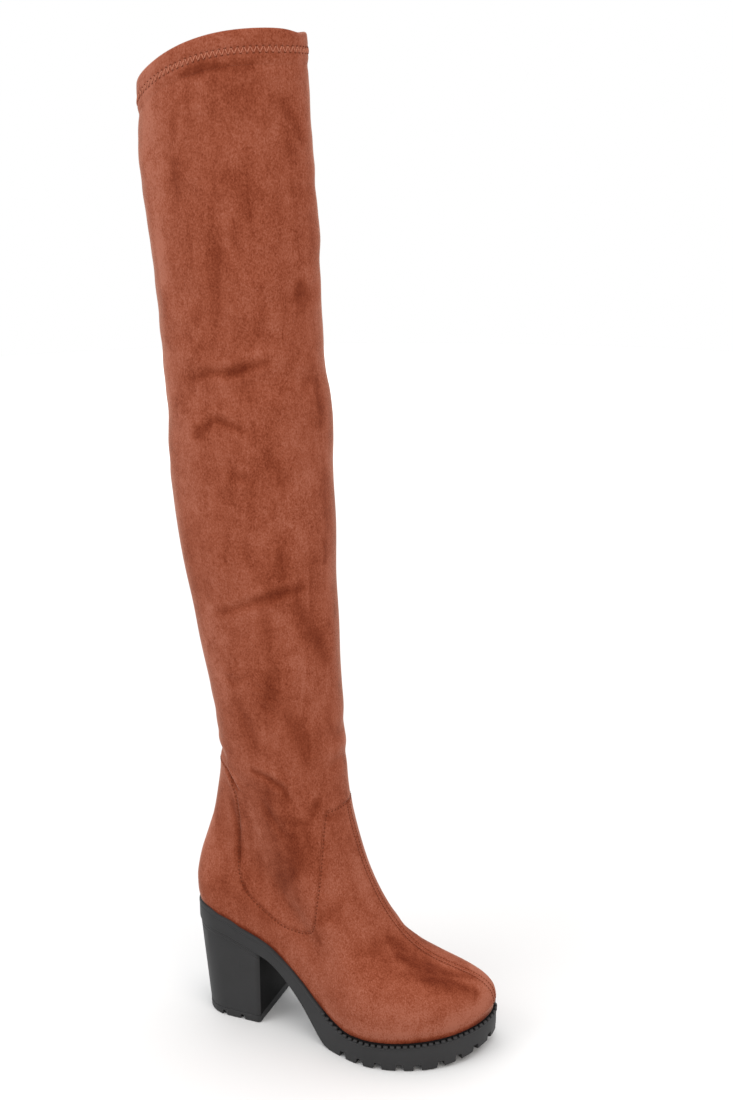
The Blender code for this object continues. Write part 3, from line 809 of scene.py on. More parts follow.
def seam_side(points):
    """Distance in the side view from the panel seam: above zero on the shaft."""
    knots = np.array([(x, 0.0, z) for x, z in PANEL_SEAM])
    steps = np.linspace(0, len(knots) - 1, 6 * len(knots) - 5)
    order = [(k, x, z) for k, (x, _, z) in enumerate(knots)]
    line = np.stack([smooth_values(order, 1, steps), smooth_values(order, 2, steps)], axis=1)
    flat = points[:, [0, 2]]
    best = np.full(len(flat), np.inf)
    side = np.ones(len(flat))
    for start, end in zip(line[:-1], line[1:]):
        run = end - start
        t = np.clip((flat - start) @ run / (run @ run), 0, 1)
        away = flat - start - t[:, None] * run
        gap = np.hypot(away[:, 0], away[:, 1])
        nearer = gap < best
        best[nearer] = gap[nearer]
        side[nearer] = np.sign(run[0] * away[nearer, 1] - run[1] * away[nearer, 0])
    return best * side


def cut_where(bm, field, value, marks, mark):
    """New, marked edges along the line where a value kept on the points passes a given one."""
    met = {}
    crossing = []
    for edge in bm.edges:
        start, end = edge.verts
        if (start[field] - value) * (end[field] - value) < 0:
            crossing.append(edge)
    for edge in crossing:
        start, end = edge.verts
        share = (value - start[field]) / (end[field] - start[field])
        vert = bmesh.utils.edge_split(edge, start, share)[1]
        vert[field] = value
        vert[marks] = mark
        for face in vert.link_faces:
            met.setdefault(face, []).append(vert)
    for face, verts in met.items():
        if len(verts) == 2:
            bmesh.utils.face_split(face, verts[0], verts[1])


def cut_panel(piece, keep_upper):
    """Cut a piece of the skin along the panel seam, keep one side and note the distance from it.

    The shaft keeps a margin that lies under the upper.
    """
    bm = bmesh.new()
    bm.from_mesh(piece.data)
    field = bm.verts.layers.float.new("seam")
    marks = bm.verts.layers.int.new("row")
    points = np.array([v.co for v in bm.verts]) / MM + [HEEL_CENTRE, 0, 0]
    for vert, value in zip(bm.verts, seam_side(points)):
        vert[field] = value
    cut_where(bm, field, 0.0, marks, SEAM_ROW)
    seam = [e for e in bm.edges if e.verts[0][marks] and e.verts[1][marks]]
    tree = KDTree(5 * len(seam))
    for i, edge in enumerate(seam):
        start, end = edge.verts[0].co, edge.verts[1].co
        for k in range(5):
            tree.insert(start.lerp(end, k / 5), 5 * i + k)
    tree.balance()
    for vert in bm.verts:
        if vert[marks] == SEAM_ROW:
            vert[field] = 0.0
        else:
            vert[field] = math.copysign(tree.find(vert.co)[2] / MM, vert[field])
    for value in SEAM_CUTS:
        cut_where(bm, field, value, marks, STITCH_ROW if value == -STITCH_INSET else 0)
    doomed = []
    for face in bm.faces:
        middle = sum(vert[field] for vert in face.verts) / len(face.verts)
        if (middle > 0) if keep_upper else (middle < -SEAM_MARGIN):
            doomed.append(face)
    bmesh.ops.delete(bm, geom=doomed, context="FACES")
    bm.to_mesh(piece.data)
    bm.free()


def seam_lift(points, around_level, at, profile):
    """Lift beside a seam that runs up the middle of the skin at one place round it."""
    away = np.linalg.norm(skin(around_level, at) - points, axis=1)
    return np.interp(away, *zip(*profile))


def crease_lift(points):
    """Depth of the listed creases and height of the rolls of suede above them."""
    lift = np.zeros(len(points))
    for places, half_width, depth, roll in CREASES:
        line = on_skin(places)
        near = np.linalg.norm(points - line.mean(axis=0), axis=1) < CREASE_REACH
        gap, share = distance_along(points[near], line)
        fade = np.clip(np.sin(math.pi * share), 0, 1) ** 0.7
        above = points[near][:, 2] > np.interp(share, np.linspace(0, 1, len(line)), line[:, 2])
        trough = -depth * band(gap, half_width)
        raised = np.where(above, roll, roll * 0.5)
        ridge = raised * band(gap - 2.1 * half_width, 1.1 * half_width)
        lift[near] += fade * (trough + ridge)
    return lift


def soft_waves(points):
    """Low waves of a soft wall: rounder on the foot, longer up the leg."""
    waves = np.empty(len(points))
    for i, (x, y, z) in enumerate(points):
        leg = min(1.0, max(0.0, (z - LEG_FROM) / WAVES_GROW_OVER))
        broad = noise.noise(Vector((x / 34, y / 34, z / 46 + 3.0)))
        long = noise.noise(Vector((x / 13 + 9.0, y / 13, z / 85)))
        ripple = noise.noise(Vector((x / 28, y / 28 + 5.0, z / 17)))
        thigh = min(1.0, max(0.0, (z - THIGH_FROM) / WAVES_GROW_OVER))
        waves[i] = broad * (0.35 + 0.75 * leg) + long * 0.4 * leg + ripple * thigh
    return waves


def nap_and_painted_light_of(points):
    """How dark each place is painted by the listed strokes: the nap's own patches, painted shade and
    painted highlights; below zero it is light.
    """
    dark, light = np.zeros(len(points)), np.zeros(len(points))
    for places, half_width, strength in NAP_STROKES_AND_PAINTED_LIGHT:
        line = on_skin(places)
        near = np.linalg.norm(points - line.mean(axis=0), axis=1) < STROKE_REACH
        gap, share = distance_along(points[near], line)
        ragged = half_width * (0.85 - 0.25 * np.cos(2 * math.pi * share))
        stroke = strength * band(gap, ragged)
        if strength > 0:
            dark[near] = np.maximum(dark[near], stroke)
        else:
            light[near] = np.minimum(light[near], stroke)
    return dark + light


def keep_value(piece, name, values):
    """Keep a number for every point of a piece, for its material to read."""
    layer = piece.data.attributes.get(name) or piece.data.attributes.new(name, "FLOAT", "POINT")
    layer.data.foreach_set("value", np.asarray(values, np.float32))


def kept_value(piece, name):
    """The numbers kept on a piece's points under a name."""
    values = np.empty(len(piece.data.vertices), np.float32)
    piece.data.attributes[name].data.foreach_get("value", values)
    return values.astype(float)


def dress(piece):
    """Move the suede in and out at its seams, creases and soft waves, and note how dark its nap is
    painted, with painted shade and painted highlights.
    """
    points = read_points(piece)
    normals = np.stack([kept_value(piece, name) for name in OUT_NAMES], axis=1)
    normals /= np.linalg.norm(normals, axis=1)[:, None]
    seam, around, level = (kept_value(piece, name) for name in ("seam", "around", "level"))
    soft = np.clip(level / SOFT_ABOVE_SOLE, 0, 1)
    below_hem = np.clip((HEM - level) / SOFT_BELOW_HEM, 0, 1)
    if piece.name == "suede_upper":
        lift = np.interp(seam, *zip(*UPPER_EDGE))
        front = np.abs(around - 0.5) < SEAM_REACH
        lift[front] += seam_lift(points[front], level[front], 0.5, VAMP_SEAM_PROFILE)
    else:
        lift = np.interp(seam, *zip(*SHAFT_EDGE))
        back = np.abs((around + 0.5) % 1 - 0.5) < SEAM_REACH
        lift[back] += seam_lift(points[back], level[back], 0.0, BACK_SEAM_PROFILE)
    creases = crease_lift(points)
    lift += creases + soft_waves(points) * soft
    lift = lift * (0.15 + 0.85 * soft) * (0.1 + 0.9 * below_hem)
    lift -= HEM_DIP * band((HEM - level) * HEM_HEIGHT, HEM_DIP_WIDTH)
    # painted shade beside the panel seam, along the stitch rows and beside the vamp's stitches, in
    # the gap just over the sole and in crease troughs; painted highlight on the creases' rolls
    shade = PANEL_SHADE * band(seam - 0.2, 0.9)
    if piece.name == "suede_upper":
        shade += STITCH_SHADE * band(seam + STITCH_INSET, 0.8)
        away = np.full(len(points), np.inf)
        away[front] = np.linalg.norm(skin(level[front], 0.5) - points[front], axis=1)
        shade += VAMP_SHADE * band(away - VAMP_STITCHES_BESIDE, 0.8)
        shade += SOLE_SHADE * band(points[:, 2] - sole_top(points[:, 0]), 1.4)
    shade -= CREASE_SHADE * np.clip(creases, -1.4, 0.6)
    keep_value(piece, "nap_with_painted_light", np.clip(nap_and_painted_light_of(points) + shade, -1, 1.4))
    points = points + normals * lift[:, None]
    near_sole = np.clip(1 - level / 0.45, 0, 1) ** 2
    points[:, 2] -= near_sole * (sole_top(points[:, 0]) - lip_top(points[:, 0]))
    points[level < 0.01, 2] -= TUCK
    write_points(piece, points)


def note_out(piece):
    """Note the outward direction on every point, so that both panels agree along their seam."""
    for name, values in zip(OUT_NAMES, read_normals(piece).T):
        keep_value(piece, name, values)


def note_places(piece, columns, levels):
    """Note level and place round the boot on every point, from the nearest point of the skin."""
    tree = KDTree(columns * len(levels))
    arounds = warped(np.arange(columns) / columns)
    grid = skin(levels[:, None], arounds[None, :]).reshape(-1, 3)
    for i, point in enumerate(grid):
        tree.insert(point, i)
    tree.balance()
    found = np.array([tree.find(point)[1] for point in read_points(piece)])
    keep_value(piece, "level", levels[found // columns])
    keep_value(piece, "around", arounds[found % columns])


def make_panel(name, levels, columns, node, finish):
    """A tube of the skin, cut along the panel seam and dressed."""

    def place(u, v):
        return skin(levels[np.round(v * (len(levels) - 1)).astype(int)], warped(u))

    piece = pattern_grid(name, columns, len(levels) - 1, place)
    note_out(piece)
    cut_panel(piece, keep_upper=node == "upper")
    note_places(piece, columns, levels)
    dress(piece)
    smooth(piece)
    finish_piece(piece, [node], [finish])
    return piece


def make_lining(finish):
    """Tube of lining that stands a wall's thickness inside the suede, from the sock to the hem."""
    levels = even_levels(LINING_START, HEM + 0.15, LINING_SPACING)

    def place(u, v):
        level = levels[np.round((1 - v) * (len(levels) - 1)).astype(int)]
        around = warped(u)
        side = skin(level, around + 2e-3) - skin(level, around - 2e-3)
        up = skin(level + 0.05, around) - skin(level - 0.05, around)
        outward = np.cross(side, up)
        outward /= np.linalg.norm(outward, axis=1)[:, None]
        below_hem = np.clip(HEM - level, 0, 1)
        depth = LINING_DEPTH_AT_HEM + (LINING_DEPTH - LINING_DEPTH_AT_HEM) * below_hem
        return skin(level, around) - outward * depth[:, None]

    piece = pattern_grid("knit_lining", LINING_COLUMNS, len(levels) - 1, place)
    face_outwards(piece)
    modify(piece, "SOLIDIFY", thickness=LINING_THICKNESS * MM, offset=-1.0)
    smooth(piece)
    finish_piece(piece, ["shaft"], [finish])


def make_hem(finish):
    """Turned hem round the collar, drawn in and puckered along its two rows of stitches."""
    below, out = np.array(HEM_SECTION).T
    columns = np.arange(HEM_COLUMNS + 1)
    edge = skin(COLLAR, warped(columns / HEM_COLUMNS))
    travelled = np.concatenate([[0], np.cumsum(np.linalg.norm(np.diff(edge, axis=0), axis=1))])
    puckers = round(travelled[-1] / HEM_PRICK[0])

    def place(u, v):
        around = warped(u)
        section = np.round(v * len(below)).astype(int) % len(below)
        up = 1 - below[section] / HEM_HEIGHT
        level = COLLAR - below[section] / HEM_HEIGHT
        base = skin(level, around)
        ahead, behind = skin(level, around + 1e-3), skin(level, around - 1e-3)
        outward = np.cross(ahead - behind, [0, 0, 1.0])
        outward /= np.linalg.norm(outward, axis=1)[:, None]
        wave = np.sin(7 * math.pi * u) * np.sin(2 * math.pi * u + 0.6)
        front_dip = band(around - 0.5, 0.055)
        base[:, 2] += (0.45 * wave - COLLAR_DIP * front_dip) * up
        base[:, 0] -= COLLAR_LEAN * front_dip * up
        along = np.interp(np.round(u * HEM_COLUMNS), columns, travelled) / travelled[-1]
        sewn_down = band(below[section] - sum(HEM_ROWS) / 2, 3.5)
        pucker = 0.16 * np.cos(2 * math.pi * puckers * along) * sewn_down
        return base + outward * (out[section] + 0.5 * wave * up + pucker)[:, None]

    piece = pattern_grid("suede_hem", HEM_COLUMNS, len(below), place)
    keep_value(piece, "nap_with_painted_light", nap_and_painted_light_of(read_points(piece)))
    face_outwards(piece)
    smooth(piece, 60)
    finish_piece(piece, ["top_band"], [finish])
    return piece


# ---------------------------------------------------------------- stitches

def as_template(piece):
    """A small piece's points and faces, taken off it so that copies can be placed."""
    points = np.array([v.co for v in piece.data.vertices])
    faces = [tuple(p.vertices) for p in piece.data.polygons]
    bpy.data.objects.remove(piece, do_unlink=True)
    return points, faces


def one_stitch(length, radius):
    """A short plump thread along X, about its own middle."""
    deselect()
    bpy.ops.mesh.primitive_uv_sphere_add(segments=6, ring_count=4, radius=1.0)
    ball = bpy.context.object
    for vert in ball.data.vertices:
        vert.co = Vector((vert.co.z * length / 2, vert.co.x * radius, vert.co.y * radius))
    return as_template(ball)


def moulded_block(size, rounding):
    """A small block with its edges taken off, about its own middle."""
    deselect()
    bpy.ops.mesh.primitive_cube_add(size=1.0)
    block = bpy.context.object
    block.data.transform(Matrix.Diagonal((*size, 1.0)))
    bpy.ops.object.mode_set(mode="EDIT")
    bpy.ops.mesh.select_all(action="SELECT")
    bpy.ops.mesh.bevel(offset=rounding, segments=1)
    bpy.ops.object.mode_set(mode="OBJECT")
    return as_template(block)


def placed_copies(name, places, template, finish):
    """One piece that holds a copy of a template at every place: (point, along, out)."""
    shape, faces = template
    points, all_faces = [], []
    for point, along, out in places:
        along = along - out * (along @ out)
        along /= np.linalg.norm(along)
        axes = np.stack([along, np.cross(out, along), out])
        first = len(points) * len(shape)
        points.append(point + shape @ axes)
        all_faces += [tuple(first + i for i in face) for face in faces]
    mesh = bpy.data.meshes.new(name)
    placed = (np.concatenate(points) - [HEEL_CENTRE, 0, 0]) * MM
    mesh.from_pydata(placed.tolist(), [], all_faces)
    piece = bpy.data.objects.new(name, mesh)
    bpy.context.scene.collection.objects.link(piece)
    smooth(piece, 50)
    finish_piece(piece, [], [finish])


def sewn(name, places, stitch, finish):
    """A row of thread with one stitch at every place."""
    _, length, radius = stitch
    placed_copies(name, places, one_stitch(length, radius), finish)


def surface_of(pieces):
    """A search tree over some pieces' faces, in millimetres as on the last."""
    points, faces = [], []
    for piece in pieces:
        first = len(points)
        points += [Vector(p) for p in read_points(piece)]
        faces += [tuple(first + i for i in p.vertices) for p in piece.data.polygons]
    return BVHTree.FromPolygons(points, faces)


def snapped(tree, points, alongs, lift):
    """The points moved onto a surface and lifted off it, with its outward direction."""
    places = []
    for point, along in zip(points, alongs):
        spot, out, _, _ = tree.find_nearest(Vector(point))
        places.append((np.array(spot + out * lift), np.array(along), np.array(out)))
    return places


def panel_stitch_line(piece):
    """The closed line of marked points, one stitch row in from the edge of the upper."""
    bm = bmesh.new()
    bm.from_mesh(piece.data)
    marks = bm.verts.layers.int["row"]
    start = max((v for v in bm.verts if v[marks] == STITCH_ROW), key=lambda v: v.co.x)
    line, seen, here = [], set(), start
    while here is not None:
        line.append(np.array(here.co) / MM + [HEEL_CENTRE, 0, 0])
        seen.add(here)
        others = [e.other_vert(here) for e in here.link_edges]
        here = next((v for v in others if v[marks] == STITCH_ROW and v not in seen), None)
    bm.free()
    return line


def hem_line(below):
    """A line round the hem at a height below the collar's edge."""
    return skin(COLLAR - below / HEM_HEIGHT, np.arange(400) / 400)


def sew_hem(hem, threads):
    """A zigzag of pale thread round the hem, with a dark prick at each of its corners whose darkness
    is painted shade of the stitch hole.
    """
    tree = surface_of([hem])
    top, bottom = (hem_line(below) for below in HEM_ROWS)
    upper_row, alongs = evenly(top, HEM_PRICK[0], closed=True)
    lower_row, _ = evenly(bottom, HEM_PRICK[0], closed=True)
    matched = np.round(np.linspace(0, len(lower_row) - 1, len(upper_row))).astype(int)
    lower_row = lower_row[matched]
    pricks = snapped(tree, upper_row, alongs, 0.05)
    shifted = (lower_row + np.roll(lower_row, -1, axis=0)) / 2
    pricks += snapped(tree, shifted, alongs, 0.05)
    sewn("hem_pricks", pricks, HEM_PRICK, threads["hem_dark"])
    starts = np.concatenate([upper_row, np.roll(upper_row, -1, axis=0)])
    ends = np.concatenate([shifted, shifted])
    slant = snapped(tree, (starts + ends) / 2, ends - starts, 0.1)
    sewn("hem_zigzag", slant, HEM_SLANT, threads["light"])


def sew_upper(upper, line, threads):
    """A row of stitches along the upper's edge and two down the seam of the vamp, in thread darkened
    as painted shade of the stitch holes.
    """
    tree = surface_of([upper])
    points, alongs = evenly(line, PANEL_STITCH[0], closed=True)
    places = snapped(tree, points, alongs, 0.05)
    sewn("panel_stitches", places, PANEL_STITCH, threads["dark"])
    levels = np.linspace(0.7, level_at(0.5, VAMP_STITCHES_TOP), 160)
    places = []
    for side in (-1, 1):
        middle = skin(levels, 0.5)
        beside = skin(levels, 0.5 + side * 0.02)
        across = beside - middle
        across /= np.linalg.norm(across, axis=1)[:, None]
        points, alongs = evenly(middle + VAMP_STITCHES_BESIDE * across, VAMP_STITCH[0])
        sideways = np.cross(alongs, [0, 1.0, 0])
        turned = alongs + 0.5 * side * np.cross(sideways, alongs)
        places += snapped(tree, points, turned, 0.0)
    sewn("vamp_stitches", places, VAMP_STITCH, threads["dark"])


# ---------------------------------------------------------------- the sole

def grown_slab(name, columns, rows, layers):
    """A closed solid extruded from a grid: each layer is a place(u, v) for the whole sheet."""
    piece = pattern_grid(name, columns, rows, lambda u, v: np.stack([u, v, 0 * u], axis=1) * 100)
    bpy.ops.object.mode_set(mode="EDIT")
    bm = bmesh.from_edit_mesh(piece.data)
    u_layer = bm.verts.layers.float.new("u")
    v_layer = bm.verts.layers.float.new("v")
    for vert in bm.verts:
        vert[u_layer] = vert.co.x / MM / 100 + HEEL_CENTRE / 100
        vert[v_layer] = vert.co.y / MM / 100
    for i, layer in enumerate(layers):
        if i:
            bpy.ops.mesh.extrude_region_move(TRANSFORM_OT_translate={"value": (0, 0, -MM)})
            bm = bmesh.from_edit_mesh(piece.data)
            u_layer = bm.verts.layers.float["u"]
            v_layer = bm.verts.layers.float["v"]
        chosen = [vert for vert in bm.verts if vert.select]
        u = np.array([vert[u_layer] for vert in chosen])
        v = np.array([vert[v_layer] for vert in chosen])
        for vert, point in zip(chosen, layer(u, v)):
            vert.co = Vector((point - [HEEL_CENTRE, 0, 0]) * MM)
        bmesh.update_edit_mesh(piece.data)
    bpy.ops.mesh.select_all(action="SELECT")
    bpy.ops.mesh.remove_doubles(threshold=0.01 * MM)
    bpy.ops.mesh.normals_make_consistent(inside=False)
    bpy.ops.object.mode_set(mode="OBJECT")
    return piece


def across_sole(x, v, inset):
    """y across the sole between its two edges, drawn in by an inset."""
    outer, inner = outer_side(x), inner_side(x)
    middle, half = (outer + inner) / 2, (inner - outer) / 2
    return middle + np.maximum(half - inset, 0) * (2 * v - 1)


def sole_layer(height, inset, inset_over_heel, inset_at_welt=0.0):
    """A sheet across the whole sole at a height of its own, drawn in all round."""

    def place(u, v):
        share = (1 - np.cos(math.pi * u)) / 2
        outline_x = SOLE_LENGTH * share
        over_heel = np.clip((HEEL_BREAST + 6 - outline_x) / 6, 0, 1)
        at_welt = np.clip((outline_x - WELT_START) / 4, 0, 1)
        drawn_in = inset + (inset_over_heel - inset) * over_heel + inset_at_welt * at_welt
        x = drawn_in + (SOLE_LENGTH - 2 * drawn_in) * share
        return np.stack([x, across_sole(outline_x, v, drawn_in), height(outline_x)], axis=1)

    return place


def block_cutter(name, corners):
    """Wedge-sided blocks to cut away, each given by its middle, direction and sizes."""
    made = []
    for (x, y, z), turn, (length, width, height), flare in corners:
        deselect()
        bpy.ops.mesh.primitive_cube_add(size=1.0)
        block = bpy.context.object
        for vert in block.data.vertices:
            wide = width + (2 * flare if vert.co.z < 0 else 0)
            vert.co = Vector((vert.co.x * length, vert.co.y * wide, vert.co.z * height)) * MM
        spin = Matrix.Rotation(turn, 4, "Z")
        block.data.transform(Matrix.Translation(Vector((x - HEEL_CENTRE, y, z)) * MM) @ spin)
        made.append(block)
    activate(made[0])
    for block in made:
        block.select_set(True)
    bpy.ops.object.join()
    tool = bpy.context.object
    tool.name = name
    return tool


def cut_with(piece, tool):
    """Cut a tool away from a piece and throw the tool away."""
    modify(piece, "BOOLEAN", operation="DIFFERENCE", solver="EXACT", object=tool)
    bpy.data.objects.remove(tool, do_unlink=True)


def lug_places():
    """Places and outward directions of the side grooves, a pitch apart round the forefoot."""
    outline = sole_outline(120)
    inside = [i for i, point in enumerate(outline) if point[0] >= LUG_START]
    places, travelled = [], LUG_PITCH
    for i in range(inside[0], inside[-1]):
        here, there = Vector(outline[i]), Vector(outline[i + 1])
        travelled += (there - here).length
        if travelled >= LUG_PITCH:
            travelled -= LUG_PITCH
            along = (there - here).normalized()
            places.append((here, Vector((along.y, -along.x))))
    return places


def lug_blocks():
    """Blocks between the lugs: short ones in from the edge and bars across the middle."""
    blocks = []
    for spot, out in lug_places():
        middle = spot - out * LUG_GROOVE_IN
        top = float(sole_underside(spot.x)) + LUG_GROOVE_DEPTH
        place = (middle.x, middle.y, (top - CUT_BELOW) / 2)
        size = (LUG_GROOVE_LENGTH, LUG_GROOVE_WIDTH, top + CUT_BELOW)
        blocks.append((place, math.atan2(out.y, out.x), size, LUG_GROOVE_FLARE))
    for x in BAR_GROOVES_AT:
        outer, inner = float(outer_side(x)), float(inner_side(x))
        length = 2 * min(BAR_GROOVE_REACH, (inner - outer) / 2 - BAR_GROOVE_MARGIN)
        top = float(sole_underside(x)) + LUG_GROOVE_DEPTH - BAR_SHALLOWER
        place = (x, (outer + inner) / 2, (top - CUT_BELOW) / 2)
        size = (length, BAR_GROOVE_WIDTH, top + CUT_BELOW)
        blocks.append((place, math.pi / 2, size, BAR_GROOVE_FLARE))
    return blocks


def make_outsole(rubber):
    """Moulded platform, arch strip and heel seat, with a lip round its top edge and lugs below."""

    def below_rim(depth):
        return lambda x: lip_top(x) - depth

    def above_ground(height):
        return lambda x: sole_underside(x) + height

    steps = (
        (lambda x: sole_top(x) - JOINT, 6.5, 6.0),
        (below_rim(JOINT), 5.0, 4.5),
        (below_rim(JOINT), 0.9, 0.8, 2.0),
        (below_rim(0.6), 0.25, 0.25, 2.0),
        (below_rim(1.3), 0.0, 0.0, 2.0),
        (below_rim(2.9), 0.0, 0.0, 2.0),
        (below_rim(3.3), 0.15, 0.25),
        (below_rim(3.7), 0.3, 0.5),
        (below_rim(4.1), 0.2, 0.25),
        (below_rim(4.7), 0.1, 0.1),
        (lambda x: (sole_top(x) + sole_underside(x)) / 2 - 1.5, 0.1, 0.1),
        (above_ground(1.4), 0.1, 0.1),
        (above_ground(0.4), 0.5, 0.15),
        (above_ground(0.0), 1.3, 0.45),
    )
    layers = [sole_layer(*step) for step in steps]
    piece = grown_slab("moulded_sole", SOLE_COLUMNS, SOLE_ROWS, layers)
    cut_with(piece, block_cutter("lug_grooves", lug_blocks()))
    smooth(piece, 32)
    finish_piece(piece, ["outsole"], [rubber])


def heel_layer(share_down, height, inset=0.0):
    """A sheet across the heel, from 0 at its seat to 1 at its base: round behind, flat in front."""

    def place(u, v):
        back = HEEL_INSET + (HEEL_BASE_BACK - HEEL_INSET) * share_down
        half = HEEL_HALF_WIDTH - HEEL_INSET
        half += (HEEL_BASE_HALF_WIDTH - half) * share_down
        share = 1 - np.cos(math.pi / 2 * u)
        on_seat = HEEL_BREAST * share
        y = np.abs(outer_side(on_seat)) / HEEL_HALF_WIDTH * half
        corner = 1.6 * np.clip((u - 0.965) / 0.035, 0, 1) ** 2
        y = np.maximum(y - inset - corner, 0) * (2 * v - 1)
        x = back + inset + (HEEL_BREAST - back - 2 * inset) * share
        return np.stack([x, y, height(x)], axis=1)

    return place


def make_heel(rubbers):
    """Block heel with fine moulded lines below its seat, and painted shade on its breast under the
    arch: a darker, matt copy of the rubber.
    """

    def at(share):
        return lambda x: (1 - share) * (sole_underside(x) + HEEL_SUNK) + share * HEEL_TIP_THICKNESS

    layers = [heel_layer(share, at(share), inset) for share, inset in HEEL_LAYERS]
    piece = grown_slab("block_heel", HEEL_COLUMNS, HEEL_ROWS, layers)
    smooth(piece, 32)
    finish_piece(piece, ["heel"], rubbers)
    # painted shade: faces turned to the front, towards the arch, take the darker matt copy of the
    # rubber
    for face in piece.data.polygons:
        face.material_index = int(face.normal.x > 0.8)


def make_heel_tip(rubber):
    """Wearing piece under the heel, with notches in from its sides."""
    layers = [heel_layer(1.0, lambda x, z=z: 0 * x + z, inset) for z, inset in HEEL_TIP_LAYERS]
    piece = grown_slab("heel_top_piece", HEEL_COLUMNS, HEEL_ROWS, layers)
    blocks = []
    for x in HEEL_NOTCHES_AT:
        half = abs(float(outer_side(x - HEEL_BASE_BACK)))
        reach = half * HEEL_BASE_HALF_WIDTH / HEEL_HALF_WIDTH - HEEL_NOTCH_IN
        turn = math.radians(135) if x == HEEL_NOTCHES_AT[0] else math.pi / 2
        for side in (-1, 1):
            place = (x, side * reach, HEEL_NOTCH_MIDDLE)
            blocks.append((place, side * turn, HEEL_NOTCH, HEEL_NOTCH_FLARE))
    cut_with(piece, block_cutter("heel_notches", blocks))
    smooth(piece, 32)
    finish_piece(piece, ["heel_tip"], [rubber])


def welt_edge(outset):
    """The line of the sole's edge round the forefoot, a little out from it."""
    outline = np.array([(x, y, 0) for x, y in sole_outline(160)])
    ahead = np.roll(outline, -1, axis=0) - np.roll(outline, 1, axis=0)
    out = np.cross(ahead, [0, 0, 1.0])
    out /= np.linalg.norm(out, axis=1)[:, None]
    line = outline + out * outset
    line[:, 2] = lip_top(outline[:, 0])
    keep = outline[:, 0] >= WELT_START
    return line[keep], out[keep]


def make_welt(rubber, matt_painted_shade_rubber):
    """Lip round the forefoot with a row of moulded stitches along its edge."""
    section = np.array(WELT_SECTION)
    edge, out = welt_edge(0.0)
    count = len(edge) - 1

    def place(u, v):
        corner = np.round(v * len(section)).astype(int) % len(section)
        spot = np.round(u * count).astype(int)
        sizes = section[corner]
        points = edge[spot] + out[spot] * sizes[:, :1]
        points[:, 2] = edge[spot][:, 2] + sizes[:, 1]
        return points

    piece = pattern_grid("welt_lip", count, len(section), place)
    activate(piece)
    bpy.ops.object.mode_set(mode="EDIT")
    bpy.ops.mesh.select_all(action="DESELECT")
    bpy.ops.mesh.select_non_manifold()
    bpy.ops.mesh.fill_holes(sides=0)
    bpy.ops.object.mode_set(mode="OBJECT")
    face_outwards(piece)
    smooth(piece, 40)
    finish_piece(piece, ["welt"], [rubber, matt_painted_shade_rubber])
    # painted shade: faces in the recess just under the rim take the darker matt copy of the rubber
    for face in piece.data.polygons:
        below_lip = float(lip_top(face.center.x / MM + HEEL_CENTRE)) - face.center.z / MM
        face.material_index = int(below_lip < WELT_RECESS)
    line, _ = welt_edge(-WELT_BLOCKS_IN)
    line[:, 2] -= WELT_BLOCKS_BELOW
    upright = np.array([0, 0, 1.0])
    places = [(point, along, upright) for point, along in zip(*evenly(line, WELT_PITCH))]
    shape = moulded_block(WELT_BLOCK, WELT_BLOCK_ROUNDING)
    placed_copies("welt_blocks", places, shape, rubber)


def make_sock(lining):
    """Padded sock that lies on the insole and follows the arch."""
    wall = UPPER_WALL + 0.6
    back, front = UPPER_WALL + 1.0, SOLE_LENGTH - UPPER_WALL - 4.0

    def sheet(lift, inset):
        def place(u, v):
            around = np.clip(u, 0, 1) * 0.5
            outer, inner = skin(SOCK_LEVEL, around), skin(SOCK_LEVEL, 1 - around)
            middle, half = (outer + inner) / 2, (inner - outer) / 2
            size = np.linalg.norm(half, axis=1)
            short = np.maximum(size - wall - inset, 0) / np.maximum(size, 1e-6)
            points = middle + half * short[:, None] * (2 * v - 1)[:, None]
            points[:, 0] = np.clip(points[:, 0], back + inset, front - inset)
            points[:, 2] = sole_top(points[:, 0]) + lift
            return points

        return place

    layers = [sheet(0.2, 0.4), sheet(0.3, 0.0), sheet(2.2, 0.0), sheet(2.9, 0.7)]
    piece = grown_slab("insole_sock", 120, 16, layers)
    smooth(piece, 60)
    finish_piece(piece, ["insole"], [lining])


# ---------------------------------------------------------------- materials

